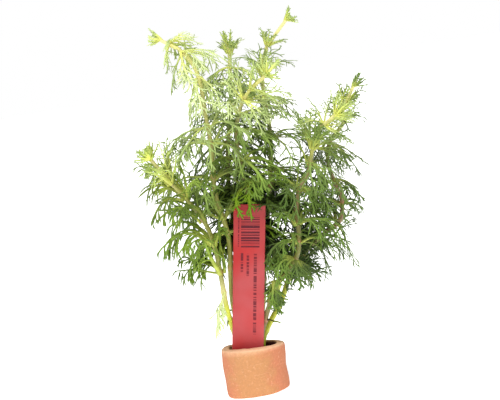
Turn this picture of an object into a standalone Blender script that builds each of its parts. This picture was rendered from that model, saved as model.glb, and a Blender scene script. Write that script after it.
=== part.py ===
"""A bunch of ambulia, a water plant: seven cut shoots in a clay ring, with a plant label pushed in beside them.

The model is in metres, +Z up, and stands on the ring's flat base, with the origin on the floor below the
middle of its box. Sizes and routes below are in millimetres, measured from the middle of the ring.
"""
from dataclasses import dataclass, replace
import math
import random

import bmesh
import bpy
from mathutils import Vector
from mathutils.bvhtree import BVHTree

MM = 0.001
GAP = 0.32

# Clay ring: made by hand, so its top is a little oblique, it leans, and its wall is thicker in front.
RING_RADIUS = 15.0
RING_BASE = -0.7
RING_HEIGHT = 21.9
RING_LEAN = 0.7
RING_TOP_SLOPE_X = -0.055
RING_TOP_SLOPE_Y = -0.05
RING_TOP_EDGE = 1.1
RING_FOOT_EDGE = 0.6
RING_WAIST = 0.8
RING_WAIST_HEIGHT = 0.42
RING_SHOULDER_HEIGHT = 0.72
RING_UNEVEN = 0.35
RING_STEPS = 26
HOLE_HALF_X = 10.6
HOLE_HALF_Y = 7.8
HOLE_OFFSET_Y = 0.8
HOLE_SQUARENESS = 5.0
HOLE_EDGE = 0.7

# Plant label: a thin plastic strip, bowed across, with a narrowed foot inside the ring.
LABEL_WIDTH = 14.6
LABEL_LENGTH = 85.2
LABEL_THICKNESS = 0.5
LABEL_FOOT = (-4.7, -2.8, 4.0)
LABEL_LEAN_RIGHT = math.radians(10.5)
LABEL_LEAN_FRONT = math.radians(4.5)
LABEL_FOOT_HALF_WIDTH = 2.0
LABEL_BOW = 0.5
LABEL_STEPS_ACROSS = 4
LABEL_STEPS_ALONG = 6
LABEL_BARE_FROM = 15.0
LABEL_BARE_TO = 80.0

# Stems: six-sided tubes that taper from the cut end to the growing tip.
STEM_RADIUS_BASE = 1.3
STEM_RADIUS_TIP = 0.75
STEM_STEP = 10.0
STEM_BEVEL_RESOLUTION = 1
SQUARE_END = 1.5
NODE_REACH = 1.5

# Leaf whorls: a collar round the stem, and three-pronged leaves that arch out of it and droop.
# Growth runs from the youngest whorl of a shoot to the fourth, and older whorls are like the fourth.
SIDES = 7
SEED_TURN = 67.0
COLLAR_HEIGHT = 1.2
COLLAR_WALL = 0.75
GROWTH_SHARES = (0.62, 0.85, 0.95, 1.0)
GROWTH_RISES = (46.0, 62.0, 70.0, 76.0)
GROWTH_DROOPS = (0.6, 1.3, 1.9, 2.3)
LEAF_FORK = 0.45
LEAF_HALF_WIDTH = 0.65
LEAF_HALF_THICKNESS = 0.28
PRONG_REACH = 0.27
PRONG_FORWARD = 0.24
LEAF_PATH_STEPS = 20

# A leaf that would touch something is tried again, each time allowed to stray further from the usual.
LEAF_TRIES = 120
TURN_STRAY = (13.0, 34.0)
RISE_STRAY = (20.0, 40.0)
DROOP_STRAY = (0.4, 0.6)
LENGTH_STRAY = 0.18
SHRINK_MOST = 0.3
ROOT_AMONG_OWN = 0.9
ROOT_AMONG_OTHERS = 1.4

# Crowns: the youngest whorl of a shoot, the last length of its stem, and a tuft that still points along it.
LEAVES_PER_TIP = 5
TIP_RADIUS = 1.15
TIP_HEIGHT = 1.6
TIP_DROOP = 0.08
NECK_STEP = 5.0
NECK_SWELL = 1.45

# Each shoot: the route of its stem from the cut end, the length of its grown leaves, and how wide its tip has
# opened. Each whorl: its distance along the stem, how its leaves differ from the usual of their age in
# length (a factor), in rise from the stem (degrees) and in droop (a factor), and the seed of their unevenness.
# The last whorl belongs to the crown. For a worn whorl, by its distance: how many leaves are left, where they
# start round the stem in degrees and how limp they are.
SHOOTS = {
    "left_tall": {
        "route": [(-4, 3, 3), (-4, 3, 12), (-4, 3, 22), (-5, 0, 43), (-3.4, -3, 58), (-1.4, -5, 74),
                  (-4, -8, 97), (-2, -8, 114), (-2, -6, 130), (-2, -4, 146), (-5, -2, 158), (-12, 0, 165),
                  (-16, 1, 168)],
        "whorls": [(74, 1.59, 15, 1.16, 820), (81.5, 1.6, -18, 0.15, 323), (100, 1.6, -2, 1.1, 622),
                   (116, 1.6, -36, 1.86, 828), (124, 1.56, 7, 0.71, 184), (146, 1.6, 81, 1.94, 222),
                   (160.5, 1.25, 68, 0.83, 685), (168, 1.21, 58, 1.38, 937)],
        "leaf": 17.5,
        "tip": (7.2, 23, 315),
        "worn": {},
    },
    "left_low": {
        "route": [(-6.5, -1, 3), (-6.5, -1, 12), (-6, -1.6, 22), (-6.8, -1.9, 30), (-7.9, -4.6, 39),
                  (-8, -8, 49), (-8, -12, 65), (-9, -15, 77), (-12, -17, 87), (-19, -19, 99), (-24, -20, 107),
                  (-28, -22, 112), (-29, -24, 116)],
        "whorls": [(47.5, 1.09, 1, 0.99, 703), (58, 1.46, -59, 0.15, 841), (72, 1.32, -30, 1, 438),
                   (84.5, 1.52, -67, 0.93, 342), (98, 1.34, -44, 1.96, 382), (107.5, 1.5, -28, 0.68, 224)],
        "leaf": 21.0,
        "tip": (7.1, 39, 397),
        "worn": {47.5: (2, 200, 2.2)},
    },
    "middle_left": {
        "route": [(-1, 6, 3), (-1, 6, 12), (-1, 6, 22), (0, 8, 41), (2, 10, 65), (2, 13, 88), (5, 13, 112),
                  (10, 11, 132), (12, 9, 144), (13, 8, 153), (14, 7, 160)],
        "whorls": [(90.5, 1.6, -13, 1.56, 594), (113.5, 1.6, 21, 1.2, 392), (126, 1.49, -13, 0.89, 22),
                   (141.5, 1.6, 19, 0.92, 103), (149, 1.6, 30, 1.73, 725), (156.5, 0.7, -15, 1.18, 499)],
        "leaf": 16.5,
        "tip": (6.5, 8, 538),
        "worn": {},
    },
    "middle": {
        "route": [(0.5, 0.5, 3), (0.5, 0.5, 12), (1, 0, 22), (5, -2, 42), (9, -4, 65), (11, -6, 86),
                  (10, -6, 101), (10, -4, 117), (13, -4, 129), (18, -8, 137), (23, -12, 141), (28, -15, 144)],
        "whorls": [(75.5, 1.6, 17, 1.01, 770), (95, 1.58, -8, 1.1, 502), (106, 1.6, 6, 1.79, 165),
                   (119.5, 1.54, -17, 1.39, 390), (128, 1.5, -12, 1.12, 345), (135.5, 1.33, 5, 0.62, 1),
                   (143, 1.28, -8, 1.01, 139)],
        "leaf": 16.5,
        "tip": (9.4, 52, 493),
        "worn": {},
    },
    "top": {
        "route": [(3, 5, 3), (3, 5, 12), (3.2, 5, 20), (9, 8, 39), (14, 9, 63), (20, 8, 86), (24, 6, 104),
                  (26, 5, 120), (26, 4, 131), (27, 4, 145), (30, 4, 154), (35, 3, 163), (41, 2, 167)],
        "whorls": [(66, 1.6, 17, 1.14, 133), (82, 1.6, -36, 1.65, 873), (92.5, 1.6, 34, 1.77, 170),
                   (100, 1.6, 7, 0.81, 328), (115, 1.59, -6, 1.14, 273), (134, 1.22, 19, 1.44, 153),
                   (145, 1.23, -66, 1.47, 212), (159, 0.7, -3, 1.09, 733)],
        "leaf": 16.0,
        "tip": (6.5, 18, 64),
        "worn": {},
    },
    "right_low": {
        "route": [(5, 2.2, 3), (5, 2.2, 12), (5.4, 2.2, 21), (11, 4, 30), (18, 6, 39), (21, 7, 45), (30, 9, 57),
                  (43, 8, 66), (50, 6, 70), (53, 4, 76), (53, 3, 83), (50, 4, 97), (52, 2, 108), (59, 0, 115),
                  (61, -3, 123), (62, -5, 129), (66, -7, 132)],
        "whorls": [(51.5, 1.32, -50, 0.15, 655), (64, 1.6, -58, 0.15, 325), (86, 1.22, 12, 0.32, 654),
                   (96.5, 0.82, -3, 0.89, 46), (108, 1.19, 28, 1.04, 30), (126, 1.27, 59, 0.74, 46),
                   (139, 0.89, -22, 0.83, 468), (146.5, 1.07, -39, 1.06, 792)],
        "leaf": 15.5,
        "tip": (7.4, 26, 293),
        "worn": {},
    },
    "right_high": {
        "route": [(4, -0.9, 3), (4, -0.9, 12), (4.3, -0.9, 21), (7.5, -1.8, 30), (11.6, -5, 39), (14.5, -8, 46),
                  (20, -10, 53), (25, -11, 56), (30, -12, 66), (31, -12, 79), (33, -11, 88), (39, -10, 96),
                  (42, -9, 104), (47, -10, 115), (51, -12, 119), (55, -15, 121)],
        "whorls": [(50, 0.97, 83, 1.58, 43), (64.5, 1.06, 18, 0.84, 397), (73, 1.55, -31, 1.17, 912),
                   (81.5, 1.6, -29, 1.12, 291), (97, 1.56, -31, 1.49, 540), (110, 1.6, -4, 1.8, 481),
                   (117.5, 1.45, -34, 0.3, 5), (130, 1.42, 35, 0.99, 212)],
        "leaf": 16.0,
        "tip": (10.4, 36, 802),
        "worn": {},
    },
}

# Red, green, blue and roughness of each material. None is a metal.
COLOURS = {
    "fired_clay": (0.83, 0.42, 0.22, 0.95),
    "red_plastic": (0.66, 0.07, 0.08, 0.45),
    "stem_green": (0.33, 0.32, 0.10, 0.5),
    "leaf_green": (0.16, 0.30, 0.04, 0.5),
    "young_leaf_green": (0.42, 0.55, 0.08, 0.5),
}


def clear_scene():
    for obj in list(bpy.data.objects):
        bpy.data.objects.remove(obj)


def material(name):
    found = bpy.data.materials.get(name)
    if found:
        return found
    made = bpy.data.materials.new(name)
    made.use_nodes = True
    red, green, blue, roughness = COLOURS[name]
    shader = made.node_tree.nodes["Principled BSDF"]
    shader.inputs["Base Color"].default_value = (red, green, blue, 1.0)
    shader.inputs["Roughness"].default_value = roughness
    shader.inputs["Metallic"].default_value = 0.0
    return made


def add_object(name, data, material_name, collection):
    obj = bpy.data.objects.new(name, data)
    data.materials.append(material(material_name))
    collection.objects.link(obj)
    return obj


def mesh_object(name, bm, material_name, collection):
    bmesh.ops.recalc_face_normals(bm, faces=bm.faces)
    mesh = bpy.data.meshes.new(name)
    bm.to_mesh(mesh)
    bm.free()
    return add_object(name, mesh, material_name, collection)


# Clay ring

def ring_outer_radius(angle, height):
    """The hand-rolled outside: nearly round, with shallow flats, and pressed in at the waist on the right."""
    flats = RING_UNEVEN * (0.6 * math.sin(2 * angle + 0.7) + 0.4 * math.sin(5 * angle + 2.0))
    waist = max(0.0, 1 - abs(height - RING_WAIST_HEIGHT) / RING_WAIST_HEIGHT)
    return RING_RADIUS + flats - RING_WAIST * waist * max(0.0, math.cos(angle))


def hole_radius(angle):
    """The hole's outline, a rounded square that is wider than it is deep."""
    across = abs(math.cos(angle) / HOLE_HALF_X) ** HOLE_SQUARENESS
    deep = abs(math.sin(angle) / HOLE_HALF_Y) ** HOLE_SQUARENESS
    return (across + deep) ** (-1.0 / HOLE_SQUARENESS)


def ring_point(angle, wall, height):
    """A point of the ring. wall runs from 0 outside to 1 in the hole, height from 0 at the base to 1 on top."""
    outer = ring_outer_radius(angle, height)
    inner = hole_radius(angle)
    x = ((1 - wall) * outer + wall * inner) * math.cos(angle)
    y = ((1 - wall) * outer + wall * inner) * math.sin(angle) + wall * HOLE_OFFSET_Y
    top = RING_HEIGHT + RING_TOP_SLOPE_X * x + RING_TOP_SLOPE_Y * y
    return Vector((x + RING_LEAN * height, y, RING_BASE + top * height)) * MM


def make_ring(collection):
    """A loft between the round outside and the rounded square hole, with worn edges."""
    wall = RING_RADIUS - HOLE_HALF_X
    top_edge = RING_TOP_EDGE / RING_HEIGHT
    profile = [
        (RING_FOOT_EDGE / wall, 0.0),
        (0.0, RING_FOOT_EDGE / RING_HEIGHT),
        (0.0, RING_WAIST_HEIGHT),
        (0.0, RING_SHOULDER_HEIGHT),
        (0.0, 1 - top_edge),
        (0.25 * RING_TOP_EDGE / wall, 1 - 0.35 * top_edge),
        (RING_TOP_EDGE / wall, 1.0),
        (1 - HOLE_EDGE / wall, 1.0),
        (1.0, 1 - HOLE_EDGE / RING_HEIGHT),
        (1.0, HOLE_EDGE / RING_HEIGHT),
        (1 - HOLE_EDGE / wall, 0.0),
    ]
    bm = bmesh.new()
    loops = []
    for step in range(RING_STEPS):
        angle = 2 * math.pi * step / RING_STEPS
        loops.append([bm.verts.new(ring_point(angle, wall_share, height)) for wall_share, height in profile])
    for step, loop in enumerate(loops):
        following = loops[(step + 1) % RING_STEPS]
        for k in range(len(profile)):
            m = (k + 1) % len(profile)
            bm.faces.new((loop[k], following[k], following[m], loop[m]))
    return mesh_object("clay_ring", bm, "fired_clay", collection)


# Plant label

def label_axes():
    """The label's directions: across, along and out of its front."""
    across = Vector((math.cos(LABEL_LEAN_RIGHT), 0, -math.sin(LABEL_LEAN_RIGHT)))
    upright = Vector((math.sin(LABEL_LEAN_RIGHT), 0, math.cos(LABEL_LEAN_RIGHT)))
    along = upright * math.cos(LABEL_LEAN_FRONT) + Vector((0, -math.sin(LABEL_LEAN_FRONT), 0))
    return across, along, across.cross(along)


def label_point(share_across, share_along):
    """A point of the label's middle. share_across runs from -1 to 1, share_along from 0 at the foot to 1."""
    across, along, front = label_axes()
    widening = min(1.0, share_along * LABEL_STEPS_ALONG)
    half_width = LABEL_FOOT_HALF_WIDTH + (LABEL_WIDTH / 2 - LABEL_FOOT_HALF_WIDTH) * widening
    bow = LABEL_BOW * (1 - share_across ** 2) * widening
    middle = Vector(LABEL_FOOT) + along * share_along * LABEL_LENGTH
    return middle + across * share_across * half_width - front * bow


def make_label(collection):
    """A bent grid that Solidify gives its thickness."""
    bm = bmesh.new()
    bmesh.ops.create_grid(bm, x_segments=LABEL_STEPS_ACROSS, y_segments=LABEL_STEPS_ALONG, size=1.0)
    for vert in bm.verts:
        vert.co = label_point(vert.co.x, (vert.co.y + 1) / 2) * MM
    obj = mesh_object("plant_label", bm, "red_plastic", collection)
    solidify = obj.modifiers.new("thickness", "SOLIDIFY")
    solidify.thickness = LABEL_THICKNESS * MM
    solidify.offset = 0.0
    return obj


def hides_label(point):
    """True for a point that would stand in front of the part of the label that leaves don't cover."""
    across, along, front = label_axes()
    offset = point - Vector(LABEL_FOOT)
    beside = abs(offset.dot(across)) - LABEL_WIDTH / 2
    return LABEL_BARE_FROM < offset.dot(along) < LABEL_BARE_TO and beside < 0.5 and offset.dot(front) > 0


# Stems

def smooth_route(points):
    """A Catmull-Rom curve through the points, as points about a millimetre apart."""
    anchors = [Vector(p) for p in points]
    anchors = [2 * anchors[0] - anchors[1]] + anchors + [2 * anchors[-1] - anchors[-2]]
    route = []
    for a, b, c, d in zip(anchors, anchors[1:], anchors[2:], anchors[3:]):
        steps = max(2, int((c - b).length))
        for k in range(steps):
            t = k / steps
            route.append(0.5 * (2 * b + (c - a) * t + (2 * a - 5 * b + 4 * c - d) * t ** 2
                                + (3 * b - a - 3 * c + d) * t ** 3))
    return route + [anchors[-2]]


def distances_along(line):
    """How far each point of a line is from its start."""
    marks = [0.0]
    for a, b in zip(line, line[1:]):
        marks.append(marks[-1] + (b - a).length)
    return marks


def point_along(line, marks, distance):
    """The point of a line at a distance from its start."""
    distance = min(max(distance, 0.0), marks[-1])
    for k in range(len(marks) - 1):
        if marks[k + 1] >= distance:
            break
    share = (distance - marks[k]) / (marks[k + 1] - marks[k])
    return line[k].lerp(line[k + 1], share)


class Stem:
    """The line of one stem, in short straight lengths, measured from the cut end."""

    def __init__(self, points):
        fine = smooth_route(points)
        marks = distances_along(fine)
        count = round(marks[-1] / STEM_STEP)
        self.line = [point_along(fine, marks, marks[-1] * k / count) for k in range(count + 1)]
        self.marks = distances_along(self.line)
        self.length = self.marks[-1]

    def at(self, distance):
        """The point and the direction of the stem at a distance."""
        behind = point_along(self.line, self.marks, distance - NODE_REACH)
        ahead = point_along(self.line, self.marks, distance + NODE_REACH)
        return point_along(self.line, self.marks, distance), (ahead - behind).normalized()

    def radius(self, distance):
        return STEM_RADIUS_BASE + (STEM_RADIUS_TIP - STEM_RADIUS_BASE) * distance / self.length


def make_stem(name, stem, crown, collection):
    """A tube along the stem with flat cut ends. Its upper end is square to the crown's whorl, a gap below it."""
    curve = bpy.data.curves.new(name, "CURVE")
    curve.dimensions = "3D"
    curve.bevel_depth = MM
    curve.bevel_resolution = STEM_BEVEL_RESOLUTION
    curve.use_fill_caps = True
    end = crown.centre - crown.axis * (crown.height / 2 + GAP)
    places = [(place, stem.radius(mark)) for place, mark in zip(stem.line, stem.marks)
              if (crown.centre - place).dot(crown.axis) > STEM_STEP / 2]
    places += [(end - crown.axis * SQUARE_END, STEM_RADIUS_TIP), (end, STEM_RADIUS_TIP)]
    spline = curve.splines.new("POLY")
    spline.points.add(len(places) - 1)
    for point, (place, radius) in zip(spline.points, places):
        point.co = (*(place * MM), 1.0)
        point.radius = radius
    return add_object(name, curve, "stem_green", collection)


# Leaf shapes

def leaf_path(root, start, length, droop):
    """The line of a leaf's midrib, at equal steps: it leaves along start and bends towards the ground."""
    points = [root]
    direction = start.copy()
    for _ in range(LEAF_PATH_STEPS):
        direction = (direction - Vector((0, 0, droop / LEAF_PATH_STEPS))).normalized()
        points.append(points[-1] + direction * length / LEAF_PATH_STEPS)
    return points


def leaf_outline(path, sideways, swell=0.0):
    """The corners of a leaf beyond its root: the four where it forks, its two side tips and its middle tip."""
    step = round(LEAF_FORK * LEAF_PATH_STEPS)
    place = path[step]
    along = (path[step + 1] - path[step - 1]).normalized()
    side = (sideways - along * sideways.dot(along)).normalized()
    across = side * (LEAF_HALF_WIDTH + swell)
    up = along.cross(side) * (LEAF_HALF_THICKNESS + swell)
    fork = [place - across - up, place + across - up, place + across + up, place - across + up]
    onward = path[round((LEAF_FORK + PRONG_FORWARD) * LEAF_PATH_STEPS)]
    length = distances_along(path)[-1]
    reach = side * (length * PRONG_REACH + swell)
    tip = path[-1] + (path[-1] - path[-2]).normalized() * swell
    return fork, [onward - reach, onward + reach], tip


def leaf_faces(base, fork, prongs, tip):
    """The faces of a leaf as lists of corners. base is the four corners that it grows from."""
    faces = []
    for k in range(4):
        m = (k + 1) % 4
        if k % 2:
            prong = prongs[1] if k == 1 else prongs[0]
            faces += [(base[k], base[m], prong), (base[m], fork[m], prong),
                      (fork[m], fork[k], prong), (fork[k], base[k], prong)]
        else:
            faces += [(base[k], base[m], fork[m]), (base[k], fork[m], fork[k])]
        faces.append((fork[k], fork[m], tip))
    return faces


# Room for leaves

def tree_of_faces(faces):
    """A search tree of loose faces, for finding where solids would touch."""
    points = []
    indices = []
    for face in faces:
        indices.append(tuple(range(len(points), len(points) + len(face))))
        points += [tuple(corner) for corner in face]
    return BVHTree.FromPolygons(points, indices)


def tree_of_object(obj):
    evaluated = obj.evaluated_get(bpy.context.evaluated_depsgraph_get())
    mesh = evaluated.to_mesh()
    points = [tuple(v.co / MM) for v in mesh.vertices]
    indices = [tuple(p.vertices) for p in mesh.polygons]
    evaluated.to_mesh_clear()
    return BVHTree.FromPolygons(points, indices)


def crosses(faces, others):
    """True where two sets of faces cut through each other anywhere but at a corner that they share."""
    for a, b in tree_of_faces(faces).overlap(tree_of_faces(others)):
        if not any((p - q).length < MM for p in faces[a] for q in others[b]):
            return True
    return False


@dataclass
class Tier:
    """A ring of leaves: where it sits on its stem, and how its leaves grow. corner is the way to its first one."""
    centre: Vector
    axis: Vector
    corner: Vector
    radius: float
    height: float
    leaves: int
    length: float
    rise: float
    droop: float
    seed: str

    def rays(self):
        """Directions from the stem's line to the corners."""
        other = self.axis.cross(self.corner)
        angles = [2 * math.pi * k / SIDES for k in range(SIDES)]
        return [self.corner * math.cos(angle) + other * math.sin(angle) for angle in angles]

    def rim(self, radius, level):
        """The corners at a radius from the stem's line and at a level along it."""
        return [self.centre + ray * radius + self.axis * level for ray in self.rays()]

    def low(self):
        return self.rim(self.radius, -self.height / 2)

    def high(self):
        return self.rim(self.radius, self.height / 2)

    def side(self, k):
        """The way out of one side of the ring, and its four corners."""
        m = (k + 1) % SIDES
        low, high, rays = self.low(), self.high(), self.rays()
        return (rays[k] + rays[m]).normalized(), [low[k], low[m], high[m], high[k]]

    def clearance(self):
        """The faces of the space that the ring itself keeps free."""
        low = self.rim(self.radius + GAP, -self.height / 2 - GAP)
        high = self.rim(self.radius + GAP, self.height / 2 + GAP)
        return [low, high] + [(low[k - 1], low[k], high[k], high[k - 1]) for k in range(SIDES)]


def stray_leaf(tier, radial, root, loose, rng):
    """A leaf's path and the way across it. The looser it is, from 0 to 1, the further it strays from the usual."""
    turn_stray, rise_stray, droop_stray = (
        first + more * loose for first, more in (TURN_STRAY, RISE_STRAY, DROOP_STRAY))
    turn = math.radians(rng.uniform(-turn_stray, turn_stray))
    swing = radial * math.cos(turn) + tier.axis.cross(radial) * math.sin(turn)
    rise = math.radians(tier.rise + rng.uniform(-rise_stray, rise_stray))
    start = tier.axis * math.cos(rise) + swing * math.sin(rise)
    length = tier.length * (1 + rng.uniform(-LENGTH_STRAY, LENGTH_STRAY)) * (1 - SHRINK_MOST * loose)
    droop = tier.droop * (1 + rng.uniform(-droop_stray, droop_stray))
    return leaf_path(root, start, length, droop), tier.axis.cross(swing)


def choose_leaf(tier, radial, base, taken, own, rng):
    """One leaf: the first of some tries that touches nothing, or nothing where none fits.

    Leaves of the same ring start side by side, so they are compared with a narrower root than others are.
    """
    root = sum(base, Vector()) / 4
    for attempt in range(LEAF_TRIES):
        path, sideways = stray_leaf(tier, radial, root, attempt / LEAF_TRIES, rng)
        fork, prongs, tip = leaf_outline(path, sideways)
        if any(hides_label(point) for point in [*fork, *prongs, tip]):
            continue
        swollen = leaf_outline(path, sideways, GAP)
        narrow_root = [root + (corner - root) * ROOT_AMONG_OWN + radial * GAP for corner in base]
        wide_root = [root + (corner - root) * ROOT_AMONG_OTHERS for corner in base]
        faces = leaf_faces(base, fork, prongs, tip)
        near = tree_of_faces(leaf_faces(narrow_root, *swollen))
        far = tree_of_faces(leaf_faces(wide_root, *swollen) + faces)
        if any(near.overlap(other) for other, _ in own) or any(far.overlap(other) for other in taken):
            continue
        if not crosses(faces, faces) and not any(crosses(faces, other) for _, other in own):
            return (fork, prongs, tip), (near, faces), far
    return None


def grow_leaves(bm, tier, low_verts, high_verts, taken):
    """Draws the outer sides of a ring out into leaves. Returns the room that they take."""
    own = []
    room = []
    for k in range(SIDES):
        m = (k + 1) % SIDES
        base_verts = (low_verts[k], low_verts[m], high_verts[m], high_verts[k])
        leaf = None
        if k < tier.leaves:
            leaf = choose_leaf(tier, *tier.side(k), taken, own, random.Random(f"{tier.seed} {k}"))
        if leaf is None:
            bm.faces.new(base_verts)
            continue
        (fork, prongs, tip), near, far = leaf
        own.append(near)
        room.append(far)
        fork_verts = add_verts(bm, fork)
        prong_verts = add_verts(bm, prongs)
        for face in leaf_faces(base_verts, fork_verts, prong_verts, bm.verts.new(tip * MM)):
            bm.faces.new(face)
    return room


def add_verts(bm, points):
    return [bm.verts.new(p * MM) for p in points]


def bridge(bm, lower, upper):
    """A band of faces between two rings of corners."""
    for k in range(SIDES):
        bm.faces.new((lower[k - 1], lower[k], upper[k], upper[k - 1]))


# Leaves of a shoot

def plan_whorl(stem, facts, order):
    """One whorl of a shoot, by its order from the ground."""
    distance, longer, rise_more, droopier, seed = facts["whorls"][order]
    leaves, turned, limp = facts["worn"].get(distance, (SIDES, seed * SEED_TURN, 1.0))
    age = min(len(facts["whorls"]) - 1 - order, len(GROWTH_SHARES) - 1)
    centre, axis = stem.at(distance)
    reference = axis.orthogonal().normalized()
    angle = math.radians(turned)
    corner = reference * math.cos(angle) + axis.cross(reference) * math.sin(angle)
    radius = collar_inner(stem, distance) + COLLAR_WALL
    return Tier(centre, axis, corner, radius, COLLAR_HEIGHT, leaves, facts["leaf"] * GROWTH_SHARES[age] * longer,
                GROWTH_RISES[age] + rise_more, GROWTH_DROOPS[age] * droopier * limp, f"whorl {seed}")


def collar_inner(stem, distance):
    """The inner radius of a collar, at its corners: it clears the stem by the gap all round."""
    return (stem.radius(distance) + GAP) / math.cos(math.pi / SIDES)


def plan_tip(stem, facts, whorl):
    """The tuft at the end of a stem. Its corners are in line with those of the whorl below it."""
    end, axis = stem.at(stem.length)
    corner = whorl.corner.copy()
    corner.rotate(whorl.axis.rotation_difference(axis))
    length, spread, seed = facts["tip"]
    return Tier(end + axis * (TIP_HEIGHT / 2), axis, corner, TIP_RADIUS, TIP_HEIGHT, LEAVES_PER_TIP,
                length, spread, TIP_DROOP, f"tip {seed}")


def neck_rims(stem, distance, whorl):
    """The corners of the last length of a stem, from its youngest whorl to its end, in steps."""
    first = distance + whorl.height / 2 + stem.radius(distance) * 0.6
    count = max(1, round((stem.length - first) / NECK_STEP))
    rims = []
    for k in range(count + 1):
        mark = first + (stem.length - TIP_RADIUS * 0.4 - first) * k / count
        centre, axis = stem.at(mark)
        corner = whorl.corner.copy()
        corner.rotate(whorl.axis.rotation_difference(axis))
        rims.append(replace(whorl, centre=centre, axis=axis, corner=corner).rim(stem.radius(mark), 0))
    return rims


def make_whorl(name, stem, distance, tier, taken, collection):
    """A collar round the stem whose outer sides are drawn out into leaves."""
    bm = bmesh.new()
    low = add_verts(bm, tier.low())
    high = add_verts(bm, tier.high())
    inner = collar_inner(stem, distance)
    low_inner = add_verts(bm, tier.rim(inner, -tier.height / 2))
    high_inner = add_verts(bm, tier.rim(inner, tier.height / 2))
    bridge(bm, low_inner, low)
    bridge(bm, high, high_inner)
    bridge(bm, high_inner, low_inner)
    room = grow_leaves(bm, tier, low, high, taken)
    mesh_object(name, bm, "leaf_green", collection)
    return room


def make_crown(name, neck, whorl, tip, taken, collection):
    """The youngest whorl, the last length of stem above it and the tuft at its end, as one piece."""
    bm = bmesh.new()
    low = add_verts(bm, whorl.low())
    high = add_verts(bm, whorl.high())
    tip_low = add_verts(bm, tip.low())
    tip_high = add_verts(bm, tip.high())
    rings = [high, *[add_verts(bm, rim) for rim in neck], tip_low]
    for lower, upper in zip(rings, rings[1:]):
        bridge(bm, lower, upper)
    bm.faces.new(low[::-1])
    bm.faces.new(tip_high)
    room = grow_leaves(bm, whorl, low, high, taken)
    room += grow_leaves(bm, tip, tip_low, tip_high, taken + room)
    mesh_object(name, bm, "young_leaf_green", collection)
    return room


def neck_faces(neck, swell):
    """The faces of a neck, widened by a margin, as loose faces."""
    wide = []
    for rim in neck:
        middle = sum(rim, Vector()) / SIDES
        wide.append([middle + (corner - middle) * swell for corner in rim])
    return [(a[k - 1], a[k], b[k], b[k - 1]) for a, b in zip(wide, wide[1:]) for k in range(SIDES)]


def make_leaves(stems, taken, collection):
    """Gives every shoot its whorls and crown, in turn, so that no leaf touches anything else."""
    plans = []
    for shoot, facts in SHOOTS.items():
        stem = stems[shoot]
        last = len(facts["whorls"]) - 1
        for order in range(last + 1):
            tier = plan_whorl(stem, facts, order)
            if order < last:
                plans.append((shoot, order, tier, None, None, [tree_of_faces(tier.clearance())]))
                continue
            tip = plan_tip(stem, facts, tier)
            neck = neck_rims(stem, facts["whorls"][order][0], tier)
            clear = [tree_of_faces(tier.clearance()), tree_of_faces(neck_faces(neck, NECK_SWELL)),
                     tree_of_faces(tip.clearance())]
            plans.append((shoot, order, tier, tip, neck, clear))
    for shoot, order, tier, tip, neck, clear in plans:
        avoid = taken + [tree for plan in plans if plan[-1] is not clear for tree in plan[-1]]
        if tip is None:
            distance = SHOOTS[shoot]["whorls"][order][0]
            name = f"whorl_{shoot}_{order + 1}"
            taken += make_whorl(name, stems[shoot], distance, tier, avoid, collection)
        else:
            taken += make_crown("crown_" + shoot, neck, tier, tip, avoid, collection)


def stand_on_floor_centre(collection):
    """Moves the whole plant so that the origin is on the floor below the middle of its box."""
    bpy.context.view_layer.update()
    graph = bpy.context.evaluated_depsgraph_get()
    corners = []
    for obj in collection.objects:
        evaluated = obj.evaluated_get(graph)
        corners += [v.co.copy() for v in evaluated.to_mesh().vertices]
        evaluated.to_mesh_clear()
    low = [min(c[k] for c in corners) for k in range(3)]
    high = [max(c[k] for c in corners) for k in range(3)]
    for obj in collection.objects:
        obj.location -= Vector(((low[0] + high[0]) / 2, (low[1] + high[1]) / 2, low[2]))


def main():
    clear_scene()
    collection = bpy.data.collections.new("ambulia")
    bpy.context.scene.collection.children.link(collection)
    ring = make_ring(collection)
    label = make_label(collection)
    stems = {shoot: Stem(facts["route"]) for shoot, facts in SHOOTS.items()}
    tubes = []
    for shoot, stem in stems.items():
        crown = plan_whorl(stem, SHOOTS[shoot], len(SHOOTS[shoot]["whorls"]) - 1)
        tubes.append(make_stem("stem_" + shoot, stem, crown, collection))
    bpy.context.view_layer.update()
    make_leaves(stems, [tree_of_object(obj) for obj in [ring, label, *tubes]], collection)
    stand_on_floor_centre(collection)


main()
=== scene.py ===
"""Dresses the ambulia bunch: fired clay, printed plastic, ribbed stems and feathery leaves, with soft light.

Lengths are in metres, and in millimetres where a name ends in _mm. Stems, leaves and the label are worked
out in millimetres and turned into metres when their meshes are made.
"""
import math
import random

import bmesh
import bpy
from bpy.props import FloatProperty, FloatVectorProperty, IntProperty, PointerProperty
from bpy.types import Operator, Panel, PropertyGroup
from mathutils import Matrix, Vector, noise


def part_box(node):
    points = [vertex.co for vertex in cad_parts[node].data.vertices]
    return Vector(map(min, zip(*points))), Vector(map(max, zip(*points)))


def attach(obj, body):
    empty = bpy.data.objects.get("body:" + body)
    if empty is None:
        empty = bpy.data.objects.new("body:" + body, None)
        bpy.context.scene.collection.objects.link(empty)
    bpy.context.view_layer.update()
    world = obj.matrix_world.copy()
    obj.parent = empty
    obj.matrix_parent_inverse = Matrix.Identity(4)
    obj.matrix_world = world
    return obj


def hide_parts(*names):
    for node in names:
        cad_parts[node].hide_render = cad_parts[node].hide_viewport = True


bl_info = {
    "name": "Ambulia bunch",
    "version": (1, 0, 0),
    "blender": (4, 5, 0),
    "location": "3D View > Sidebar > Ambulia",
    "description": "Builds the looks of a bunch of ambulia in a clay ring round its solid parts",
    "category": "Object",
}

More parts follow.
